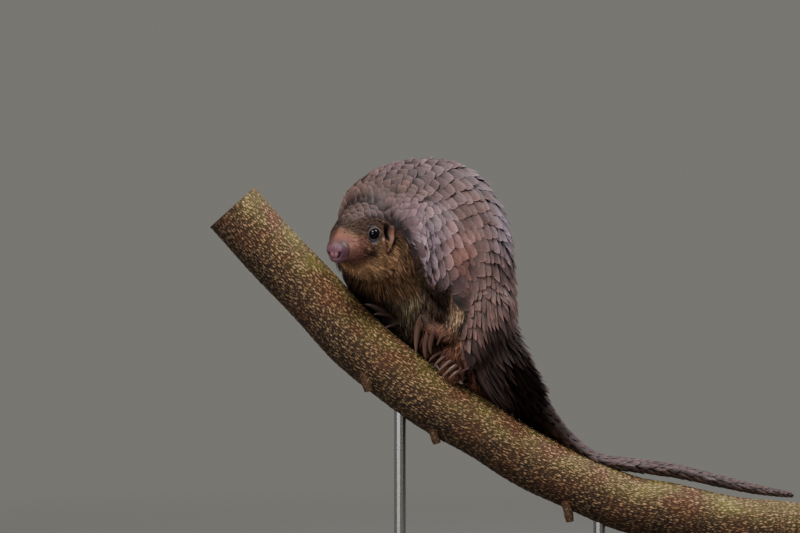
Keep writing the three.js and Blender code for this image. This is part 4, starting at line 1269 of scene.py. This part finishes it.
fine = np.linspace(0, len(BRANCH) - 1, 3000)
line = surface(bark_form, fine, 0, 0)
run = np.concatenate([[0], np.cumsum(np.linalg.norm(np.diff(line, axis=0), axis=1))]) / MM
along = np.linspace(0, run[-1], BARK_ROWS)
place = np.interp(along, run, fine)
angle = np.linspace(0, 2 * np.pi, BARK_SIDES, endpoint=False)
grid = surface(bark_form, place[:, None], angle)
core = surface(bark_form, place, 0, 0)[:, None]
from_core = (grid - core) / np.linalg.norm(grid - core, axis=2, keepdims=True)
down, across = np.broadcast_arrays(along[:, None], angle[None] / (2 * np.pi) * GIRTH)
pores = beads(down, across, PORE_LONG, PORE_WIDE, GIRTH)
waves = 0.5 * np.sin(down / 17 + 2 * np.sin(angle)) + 0.4 * np.sin(down / 41 + 3 * np.cos(angle + 1))
worn_top = 1 - 0.6 * bell(np.sin(angle) - 1, 0.25)
grid = grid + from_core * ((PORE_HIGH * pores * worn_top + 0.5 * waves)[..., None] - 0.3) * MM
print(f"branch {run[-1]:.0f} mm long, with pores every {PORE_LONG} x {PORE_WIDE} mm")

# %% Cut ends, twig stubs and the finished perch
# Each stub: root and end in mm, and radius.
STUBS = [
    ((-119, -14, 238), (-111, -22, 205), 6),
    ((-52, -10, 182), (-43, -16, 152), 5),
    ((84, -12, 106), (90, -20, 74), 5),
]
STUB_ROWS, STUB_SIDES, BRANCH_RADIUS = 24, 28, 30.0
# Shares of the radius at which a cut face has its rings; bark begins outside BARK_FROM.
CUT_RINGS = np.array([0.12, 0.5, 0.88, 0.90, 0.985])
BARK_FROM = 0.89


def with_cuts(grid):
    """Adds smaller and smaller copies of the end rows, which make the flat cut faces."""
    def rings(row):
        """Each ring is the row's middle plus a share of the way out to the row."""
        middle = row.mean(0)
        return middle + (row - middle) * CUT_RINGS[:, None, None]

    return np.concatenate([rings(grid[0]), grid, rings(grid[-1])[::-1]])


def straight(along, angle, radius):
    """The place on the branch as if it were straight, in mm: along it, and across it both ways."""
    along, angle, radius = np.broadcast_arrays(along, angle, radius)
    return np.stack([along, radius * np.cos(angle), radius * np.sin(angle)], -1)


def stub_tube(root, end, radius):
    """A knobbly tube that narrows from root to end, and how far each of its rows lies along it, in mm."""
    ends = [(*root, radius * 1.2, radius * 1.2), (*end, radius * 0.8, radius * 0.8)]
    rows = np.linspace(0, 1, STUB_ROWS) * np.linalg.norm(np.subtract(end, root))
    turn = np.linspace(0, 2 * np.pi, STUB_SIDES, endpoint=False)
    knobs = 0.25 * np.sin(rows / 1.9)[:, None, None] * MM
    stub = {"sections": square_sections(ends), "depth": ([0, 1], [0, 0])}
    plain = surface(stub, np.linspace(0, 1, STUB_ROWS)[:, None], turn)
    return plain + knobs * (plain - plain.mean(1, keepdims=True)) / (radius * MM), rows


def dressed(tube_grid, rows, radius, bumps):
    """Closed mesh, straightened places, and for each corner whether it is cut wood and its pore's height."""
    shape = with_cuts(tube_grid)
    sides, rings = shape.shape[1], len(CUT_RINGS)
    turn = np.linspace(0, 2 * np.pi, sides, endpoint=False)
    shrink = np.concatenate([CUT_RINGS, np.ones(len(rows)), CUT_RINGS[::-1]])
    level = np.concatenate([np.full(rings, rows[0]), rows, np.full(rings, rows[-1])])
    spot = straight(level[:, None], turn, (shrink * radius)[:, None]).reshape(-1, 3)
    poles = [[rows[0], 0, 0], [rows[-1], 0, 0]]
    cut = np.append(np.repeat(shrink < BARK_FROM, sides), [1, 1])
    pad = np.zeros(rings * sides)
    pore = np.concatenate([pad, bumps.ravel(), pad, [0, 0]])
    return closed(shape), np.concatenate([spot, poles]), np.stack([cut, pore, 0 * pore], 1)


pieces = [dressed(grid, along, BRANCH_RADIUS, pores)]
for root, end, radius in STUBS:
    stub, rows = stub_tube(root, end, radius)
    pieces.append(dressed(stub, rows, radius, np.zeros(stub.shape[:2])))
meshes, places, kinds = zip(*pieces)
perch = mesh_object("branch_with_bark", *joined(meshes))
perch.data.set_sharp_from_angle(angle=np.radians(60))
attribute(perch, "straight", "FLOAT_VECTOR", np.concatenate(places))
attribute(perch, "kind", "FLOAT_VECTOR", np.concatenate(kinds))
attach(perch, "root")
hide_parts("perch_branch")
print(sum(len(face.vertices) - 2 for face in perch.data.polygons), "triangles of branch")

# %% [markdown]
# ## Materials
# Every finish is built from nodes, because a pattern made by nodes is sharp at any distance and needs no
# picture. One small function adds a node with its settings and its inputs. Colours are written as screen
# colours and turned to linear light. A noise's scale says how often it repeats in a metre, in a millimetre
# where the place is given in mm, or over one scale or claw, so each is chosen from a real size.

# %% A node, and a new material
def add(tree, kind, inputs=(), **settings):
    """One node: its settings, then its inputs, each a value or the socket that it is linked to."""
    made = tree.nodes.new("ShaderNode" + kind)
    for key, value in settings.items():
        setattr(made, key, value)
    for key, value in dict(inputs).items():
        if isinstance(value, bpy.types.NodeSocket):
            tree.links.new(value, made.inputs[key])
        else:
            made.inputs[key].default_value = value
    return made


def new_material(name):
    """An empty material with its output node."""
    made = bpy.data.materials.new(name)
    made.use_nodes = True
    made.node_tree.nodes.clear()
    return made, made.node_tree, made.node_tree.nodes.new("ShaderNodeOutputMaterial")


def rgba(code):
    """A hex colour as the four linear values that a socket takes."""
    return (*hue(code), 1)


def wear(material, *pieces):
    """Gives the pieces their material; a CAD node's slots are filled and its mesh is left alone."""
    for piece in pieces:
        if piece.data.materials:
            for slot in piece.material_slots:
                slot.material = material
        else:
            piece.data.materials.append(material)
    print(f"{material.name}: {len(material.node_tree.nodes)} nodes, on {len(pieces)} pieces")


# A colour mix has sockets for numbers, vectors and colours; these are its two colours and its result.
MIX_A, MIX_B, MIX_OUT = 6, 7, 2

# %% [markdown]
# ## Keratin of the scales
# Keratin grows from the root, so a scale has fine lengthwise ridges a little under 1 mm apart, a satin sheen,
# dirt in patches 14 mm wide and a paler, worn rim. What lies tucked under the scale before it is darker,
# partly as dirt and partly as painted shade. A picture could be wrapped round each scale, but nodes that read
# the place along and across each scale follow its own width and length, so nothing is stretched and no two
# scales are alike.

# %% Keratin nodes
keratin, tree, out = new_material("keratin")
marking = add(tree, "Attribute", attribute_name="marking")
plate = add(tree, "Attribute", attribute_name="plate")
parts = add(tree, "SeparateXYZ", {0: plate.outputs["Vector"]})
across = add(tree, "Math", {0: parts.outputs[0]}, operation="ABSOLUTE")
stretch = add(tree, "VectorMath", {0: plate.outputs["Vector"], 1: (5.0, 0.8, 37.0)}, operation="MULTIPLY")
ridges = add(tree, "TexNoise", {"Vector": stretch.outputs[0], "Scale": 1.6, "Detail": 4.0, "Roughness": 0.6})
place_of = add(tree, "TexCoord")
grime = add(tree, "TexNoise", {"Vector": place_of.outputs["Object"], "Scale": 70.0, "Detail": 5.0})
rim_u = add(tree, "MapRange", {"Value": across.outputs[0], "From Min": 0.72, "From Max": 1.0})
rim_v = add(tree, "MapRange", {"Value": parts.outputs[1], "From Min": 0.74, "From Max": 1.0})
rim = add(tree, "Math", {0: rim_u.outputs[0], 1: rim_v.outputs[0]}, operation="MAXIMUM")
paler = add(tree, "MapRange", {"Value": rim.outputs[0], "To Min": 1.0, "To Max": 1.85})
# Partly dirt, partly painted shade: darker where the scale before covers it.
tucked_dirt_and_shade = add(tree, "MapRange", {"Value": parts.outputs[1], "From Min": 0.34, "From Max": 0.66, "To Min": 0.16,
                                "To Max": 1.04})
edge = add(tree, "Math", {0: paler.outputs[0], 1: tucked_dirt_and_shade.outputs[0]}, operation="MULTIPLY")
streak = add(tree, "MapRange", {"Value": ridges.outputs[0], "From Min": 0.3, "From Max": 0.7, "To Min": 0.58,
                                "To Max": 1.34})
dirt = add(tree, "MapRange", {"Value": grime.outputs[0], "From Min": 0.35, "From Max": 0.68, "To Min": 0.78,
                              "To Max": 1.12})
both = add(tree, "Math", {0: streak.outputs[0], 1: dirt.outputs[0]}, operation="MULTIPLY")
all_three = add(tree, "Math", {0: both.outputs[0], 1: edge.outputs[0]}, operation="MULTIPLY")
shaded = add(tree, "VectorMath", {0: marking.outputs["Color"], "Scale": all_three.outputs[0]},
             operation="SCALE")
rough = add(tree, "MapRange", {"Value": grime.outputs[0], "From Min": 0.3, "From Max": 0.7, "To Min": 0.46,
                               "To Max": 0.74})
bump = add(tree, "Bump", {"Height": ridges.outputs[0], "Strength": 0.6, "Distance": 0.0007})
gloss = add(tree, "MapRange", {"Value": marking.outputs["Fac"], "From Min": 0.006, "From Max": 0.04,
                               "To Min": 0.04, "To Max": 0.4})
shader = add(tree, "BsdfPrincipled", {"Base Color": shaded.outputs[0], "Roughness": rough.outputs[0],
                                      "Normal": bump.outputs[0], "IOR": 1.54,
                                      "Specular IOR Level": gloss.outputs[0]})
tree.links.new(shader.outputs[0], out.inputs[0])
wear(keratin, *scales)

# %% [markdown]
# ## Hair
# Hair is dull from the side and a little glossy along its length. Its tone changes about every 4 mm, from
# lock to lock. A hair shader needs curves, which are lost on export, so a plain, rather rough finish takes
# its place, and the marking on each lock brings dark roots and light tips, partly its own tone and partly
# painted shade.

# %% Hair nodes
hair, tree, out = new_material("hair")
marking = add(tree, "Attribute", attribute_name="marking")
place_of = add(tree, "TexCoord")
tone = add(tree, "TexNoise", {"Vector": place_of.outputs["Object"], "Scale": 240.0, "Detail": 2.0})
vary = add(tree, "MapRange", {"Value": tone.outputs[0], "From Min": 0.3, "From Max": 0.7, "To Min": 0.75,
                              "To Max": 1.2})
shaded = add(tree, "VectorMath", {0: marking.outputs["Color"], "Scale": vary.outputs[0]}, operation="SCALE")
shader = add(tree, "BsdfPrincipled", {"Base Color": shaded.outputs[0], "Roughness": 0.55, "IOR": 1.55,
                                      "Specular IOR Level": 0.25})
tree.links.new(shader.outputs[0], out.inputs[0])
wear(hair, *fur)

# %% [markdown]
# ## Bare hide
# Bare hide is matt and finely creased, with pores about 1 mm apart, creases 4 mm and blotches 11 mm apart.
# The moist nose is smoother and shines. Modelled pores would cost millions of faces, so a bump draws them.

# %% Bare hide nodes
hide, tree, out = new_material("bare_hide")
marking = add(tree, "Attribute", attribute_name="marking")
wet = add(tree, "Attribute", attribute_name="wet")
place_of = add(tree, "TexCoord")
pores_of = add(tree, "TexVoronoi", {"Vector": place_of.outputs["Object"], "Scale": 900.0})
crease = add(tree, "TexNoise", {"Vector": place_of.outputs["Object"], "Scale": 260.0, "Detail": 5.0,
                                "Roughness": 0.6})
blotch = add(tree, "TexNoise", {"Vector": place_of.outputs["Object"], "Scale": 90.0, "Detail": 3.0})
tone = add(tree, "MapRange", {"Value": blotch.outputs[0], "From Min": 0.3, "From Max": 0.7, "To Min": 0.78,
                              "To Max": 1.22})
shaded = add(tree, "VectorMath", {0: marking.outputs["Color"], "Scale": tone.outputs[0]}, operation="SCALE")
depth = add(tree, "Math", {0: pores_of.outputs["Distance"], 1: crease.outputs[0]}, operation="ADD")
bump = add(tree, "Bump", {"Height": depth.outputs[0], "Strength": 0.45, "Distance": 0.0005})
rough = add(tree, "MapRange", {"Value": wet.outputs["Fac"], "To Min": 0.62, "To Max": 0.42})
shader = add(tree, "BsdfPrincipled", {"Base Color": shaded.outputs[0], "Roughness": rough.outputs[0],
                                      "Normal": bump.outputs[0], "IOR": 1.45})
tree.links.new(shader.outputs[0], out.inputs[0])
wear(hide, skin)

# %% [markdown]
# ## Horn of the claws
# Horn is keratin too, denser and more polished, with lengthwise streaks, and paler at the tip. Each claw
# could be painted by hand. Here the colour is read from the place along and round it, so all twenty match.
# The far forepaw's claws are painted darker, as shade.

# %% Horn nodes
horn_look, tree, out = new_material("claw_horn")
along_claw = add(tree, "Attribute", attribute_name="along")
parts = add(tree, "SeparateXYZ", {0: along_claw.outputs["Vector"]})
stretch = add(tree, "VectorMath", {0: along_claw.outputs["Vector"], 1: (1.2, 3.5, 3.5)}, operation="MULTIPLY")
streaks = add(tree, "TexNoise", {"Vector": stretch.outputs[0], "Scale": 1.5, "Detail": 4.0})
tone = add(tree, "Mix", {0: streaks.outputs[0], MIX_A: rgba("#2b1914"), MIX_B: rgba("#775448")},
           data_type="RGBA")
pale = add(tree, "MapRange", {"Value": parts.outputs[0], "From Min": 0.35, "From Max": 1.0, "To Max": 0.35})
tipped = add(tree, "Mix", {0: pale.outputs[0], MIX_A: tone.outputs[MIX_OUT], MIX_B: rgba("#a08676")},
             data_type="RGBA")
bump = add(tree, "Bump", {"Height": streaks.outputs[0], "Strength": 0.4, "Distance": 0.0005})
# The claws' painted shade scales their colour.
claw_shade = add(tree, "Attribute", attribute_name="claw_shade")
shaded_horn = add(tree, "VectorMath", {0: tipped.outputs[MIX_OUT], "Scale": claw_shade.outputs["Fac"]},
                   operation="SCALE")
shader = add(tree, "BsdfPrincipled", {"Base Color": shaded_horn.outputs[0], "Roughness": 0.4,
                                      "Normal": bump.outputs[0], "IOR": 1.55})
tree.links.new(shader.outputs[0], out.inputs[0])
wear(horn_look, *claws)

# %% [markdown]
# ## The wet eye
# Seen from outside the eye is black with a thin, very dark brown iris, and a film of tears makes it gloss. A
# clear shell over a painted ball could be built, but at this size one glossy surface looks the same.

# %% Wet eye nodes
wet_eye, tree, out = new_material("wet_cornea")
polar_of = add(tree, "Attribute", attribute_name="polar")
place_of = add(tree, "TexCoord")
fleck = add(tree, "TexNoise", {"Vector": place_of.outputs["Object"], "Scale": 900.0, "Detail": 3.0})
iris = add(tree, "Mix", {0: fleck.outputs[0], MIX_A: rgba("#0b080a"), MIX_B: rgba("#1a1215")},
           data_type="RGBA")
edge = add(tree, "MapRange", {"Value": polar_of.outputs["Fac"], "From Min": 0.45, "From Max": 0.55})
tone = add(tree, "Mix", {0: edge.outputs[0], MIX_A: rgba("#050507"), MIX_B: iris.outputs[MIX_OUT]},
           data_type="RGBA")
shader = add(tree, "BsdfPrincipled", {"Base Color": tone.outputs[MIX_OUT], "Roughness": 0.05, "IOR": 1.376})
tree.links.new(shader.outputs[0], out.inputs[0])
wear(wet_eye, *balls)

# %% [markdown]
# ## Bark
# Bark is dark and matt between its pores, with rusty patches about 30 mm wide. The corky pores are tan, about
# 4 mm long and 1 mm wide, and moss colours the upper side yellow-green. The raised beads alone look too even,
# so a second, finer pattern of dots is laid over them. Year rings 2.4 mm apart show on the cut faces. The
# lower side is painted darker, as shade.

# %% Bark nodes
bark, tree, out = new_material("bark")
spot = add(tree, "Attribute", attribute_name="straight")
kind = add(tree, "Attribute", attribute_name="kind")
what = add(tree, "SeparateXYZ", {0: kind.outputs["Vector"]})
where = add(tree, "SeparateXYZ", {0: spot.outputs["Vector"]})
squeeze = add(tree, "VectorMath", {0: spot.outputs["Vector"], 1: (0.27, 1.0, 1.0)}, operation="MULTIPLY")
corky = add(tree, "TexVoronoi", {"Vector": squeeze.outputs[0], "Scale": 0.9, "Randomness": 0.9})
fibre = add(tree, "TexNoise", {"Vector": squeeze.outputs[0], "Scale": 0.9, "Detail": 6.0, "Roughness": 0.8})
patches = add(tree, "TexNoise", {"Vector": spot.outputs["Vector"], "Scale": 0.035, "Detail": 4.0})
base = add(tree, "Mix", {0: fibre.outputs[0], MIX_A: rgba("#0f0704"), MIX_B: rgba("#543625")},
           data_type="RGBA")
rusty = add(tree, "MapRange", {"Value": patches.outputs[0], "From Min": 0.54, "From Max": 0.34,
                               "To Max": 0.5})
ground = add(tree, "Mix", {0: rusty.outputs[0], MIX_A: base.outputs[MIX_OUT], MIX_B: rgba("#64391d")},
             data_type="RGBA")
dots = add(tree, "MapRange", {"Value": corky.outputs["Distance"], "From Min": 0.36, "From Max": 0.14,
                              "To Max": 0.85})
high = add(tree, "MapRange", {"Value": what.outputs[1], "From Min": 0.24, "From Max": 0.62})
bead = add(tree, "Math", {0: dots.outputs[0], 1: high.outputs[0]}, operation="MAXIMUM")
above = add(tree, "MapRange", {"Value": where.outputs[2], "From Min": -6.0, "From Max": 20.0})
mossy = add(tree, "MapRange", {"Value": patches.outputs[0], "From Min": 0.38, "From Max": 0.7})
moss = add(tree, "Math", {0: above.outputs[0], 1: mossy.outputs[0]}, operation="MULTIPLY")
moss_soft = add(tree, "Math", {0: moss.outputs[0], 1: 0.7}, operation="MULTIPLY")
greened = add(tree, "Mix", {0: moss_soft.outputs[0], MIX_A: ground.outputs[MIX_OUT], MIX_B: rgba("#6f6a28")},
              data_type="RGBA")
cork_tone = add(tree, "Mix", {0: patches.outputs[0], MIX_A: rgba("#b07c55"), MIX_B: rgba("#f3d29c")},
                data_type="RGBA")
bead_soft = add(tree, "Math", {0: bead.outputs[0], 1: 0.95}, operation="MULTIPLY")
pored = add(tree, "Mix", {0: bead_soft.outputs[0], MIX_A: greened.outputs[MIX_OUT],
                          MIX_B: cork_tone.outputs[MIX_OUT]}, data_type="RGBA")
rings_of = add(tree, "VectorMath", {0: spot.outputs["Vector"], 1: (0.0, 1.0, 1.0)}, operation="MULTIPLY")
reach = add(tree, "VectorMath", {0: rings_of.outputs[0]}, operation="LENGTH")
wave = add(tree, "Math", {0: reach.outputs["Value"], 1: 2.6}, operation="MULTIPLY")
year = add(tree, "Math", {0: wave.outputs[0]}, operation="SINE")
grain = add(tree, "MapRange", {"Value": year.outputs[0], "From Min": -1.0, "From Max": 1.0})
wood_face = add(tree, "Mix", {0: grain.outputs[0], MIX_A: rgba("#a98659"), MIX_B: rgba("#c9a878")},
                data_type="RGBA")
whole = add(tree, "Mix", {0: what.outputs[0], MIX_A: pored.outputs[MIX_OUT],
                          MIX_B: wood_face.outputs[MIX_OUT]}, data_type="RGBA")
# Painted shade: darker towards the lower side of the branch.
painted_bark_shade = add(tree, "MapRange", {"Value": where.outputs[2], "From Min": -26.0, "From Max": 16.0,
                              "To Min": 0.4, "To Max": 1.15})
darker = add(tree, "VectorMath", {0: whole.outputs[MIX_OUT], "Scale": painted_bark_shade.outputs[0]}, operation="SCALE")
relief = add(tree, "Math", {0: bead.outputs[0], 1: fibre.outputs[0]}, operation="ADD")
bump = add(tree, "Bump", {"Height": relief.outputs[0], "Strength": 0.7, "Distance": 0.0008})
shader = add(tree, "BsdfPrincipled", {"Base Color": darker.outputs[0], "Roughness": 0.78,
                                      "Normal": bump.outputs[0]})
tree.links.new(shader.outputs[0], out.inputs[0])
wear(bark, perch)

# %% [markdown]
# ## The stand
# The base is stained hardwood: fine straight grain, in streaks about 6 mm apart with finer ones between,
# under a satin lacquer. The rods are brushed steel. Emery leaves very fine scratches round them, here 0.4 mm
# apart, which stretch the highlights. Both keep the CAD's own meshes, as turned and planed shapes need no
# more.

# %% Hardwood nodes
stained, tree, out = new_material("stained_hardwood")
place_of = add(tree, "TexCoord")
turn = add(tree, "Mapping", {"Vector": place_of.outputs["Object"], "Scale": (6.0, 160.0, 60.0)})
figure = add(tree, "TexNoise", {"Vector": turn.outputs[0], "Scale": 1.0, "Detail": 6.0, "Roughness": 0.6})
tone = add(tree, "Mix", {0: figure.outputs[0], MIX_A: rgba("#20140d"), MIX_B: rgba("#5a3f2c")},
           data_type="RGBA")
bump = add(tree, "Bump", {"Height": figure.outputs[0], "Strength": 0.15, "Distance": 0.0005})
shader = add(tree, "BsdfPrincipled", {"Base Color": tone.outputs[MIX_OUT], "Roughness": 0.38,
                                      "Normal": bump.outputs[0], "Coat Weight": 0.3, "Coat Roughness": 0.2})
tree.links.new(shader.outputs[0], out.inputs[0])
wear(stained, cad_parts["stand_base"])
# %% Steel nodes
steel, tree, out = new_material("brushed_steel")
place_of = add(tree, "TexCoord")
turn = add(tree, "Mapping", {"Vector": place_of.outputs["Object"], "Scale": (40.0, 40.0, 2600.0)})
brush = add(tree, "TexNoise", {"Vector": turn.outputs[0], "Scale": 1.0, "Detail": 3.0})
rough = add(tree, "MapRange", {"Value": brush.outputs[0], "From Min": 0.3, "From Max": 0.7, "To Min": 0.24,
                               "To Max": 0.42})
shader = add(tree, "BsdfPrincipled", {"Base Color": rgba("#b9babb"), "Metallic": 1.0,
                                      "Roughness": rough.outputs[0]})
tree.links.new(shader.outputs[0], out.inputs[0])
wear(steel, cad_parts["stand_rod_front"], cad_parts["stand_rod_rear"])

# %% [markdown]
# ## Camera, floor and light
# The camera looks at the animal's left side through a long lens, from almost 6 m away and a little above, so
# that near and far parts keep their true sizes. A short lens close by would make the head look swollen. The
# floor takes the shadow. Farther off it turns into the world's own tone, so that no horizon shows. Three
# square lamps light the model: a key light from above, a cool one behind it that draws the back's rim, and
# a weak one from the front that opens the shade.

# %% Camera
from mathutils import Vector

LOOKS_AT, DISTANCE, TIP = np.array([-80, 0, 328.5]) * MM, 5.9, np.radians(2.0)
camera = bpy.data.objects.new("camera", bpy.data.cameras.new("camera"))
bpy.context.scene.collection.objects.link(camera)
bpy.context.scene.camera = camera
camera.data.lens = 265
camera.data.sensor_width = 36
camera.data.clip_start, camera.data.clip_end = 0.1, 200
camera.location = LOOKS_AT + DISTANCE * np.array([0, -np.cos(TIP), np.sin(TIP)])
camera.rotation_euler = (np.pi / 2 - TIP, 0, 0)
print(f"camera {DISTANCE} m away, with a {camera.data.lens:.0f} mm lens")

# %% Floor and world
# Near the model the floor is matt paper; the change to the plain tone runs from 0.45 to 1.6 m off.
STUDIO, HALF_FLOOR = "#787772", 60
corners = [(x * HALF_FLOOR, y * HALF_FLOOR, 0) for x, y in ((-1, -1), (1, -1), (1, 1), (-1, 1))]
floor_mesh = bpy.data.meshes.new("floor")
floor_mesh.from_pydata(corners, [], [(0, 1, 2, 3)])
floor = bpy.data.objects.new("floor", floor_mesh)
bpy.context.scene.collection.objects.link(floor)
paper, tree, out = new_material("matt_paper")
place_of = add(tree, "TexCoord")
reach = add(tree, "VectorMath", {0: place_of.outputs["Object"]}, operation="LENGTH")
far = add(tree, "MapRange", {"Value": reach.outputs["Value"], "From Min": 0.45, "From Max": 1.6},
          interpolation_type="SMOOTHSTEP")
matt = add(tree, "BsdfPrincipled", {"Base Color": rgba("#6c6b66"), "Roughness": 0.9})
glow = add(tree, "Emission", {"Color": rgba(STUDIO), "Strength": 1.0})
mixed = add(tree, "MixShader", {0: far.outputs[0], 1: matt.outputs[0], 2: glow.outputs[0]})
tree.links.new(mixed.outputs[0], out.inputs[0])
wear(paper, floor)
world = bpy.data.worlds.new("studio")
bpy.context.scene.world = world
world.use_nodes = True
backdrop = world.node_tree.nodes["Background"]
backdrop.inputs["Color"].default_value = rgba(STUDIO)
backdrop.inputs["Strength"].default_value = 1.0


# %% Lamps
def lamp(name, place, size, power, tint):
    """A square softbox that looks at the middle of the animal."""
    light = bpy.data.lights.new(name, "AREA")
    light.shape = "SQUARE"
    light.size = size
    light.energy = power
    light.color = tint
    holder = bpy.data.objects.new(name, light)
    bpy.context.scene.collection.objects.link(holder)
    holder.location = place
    aim = Vector((0, 0, 0.33)) - holder.location
    holder.rotation_euler = aim.to_track_quat("-Z", "Y").to_euler()
    print(f"{name}: {power} W from a square of {size} m")


lamp("key_light", (-0.9, -1.5, 2.9), 0.7, 70, (1.0, 0.97, 0.93))
lamp("sky_light", (1.2, 0.5, 2.2), 1.2, 44, (0.90, 0.92, 1.0))
lamp("front_light", (-1.2, -2.8, 0.9), 1.2, 30, (1.0, 0.95, 0.92))
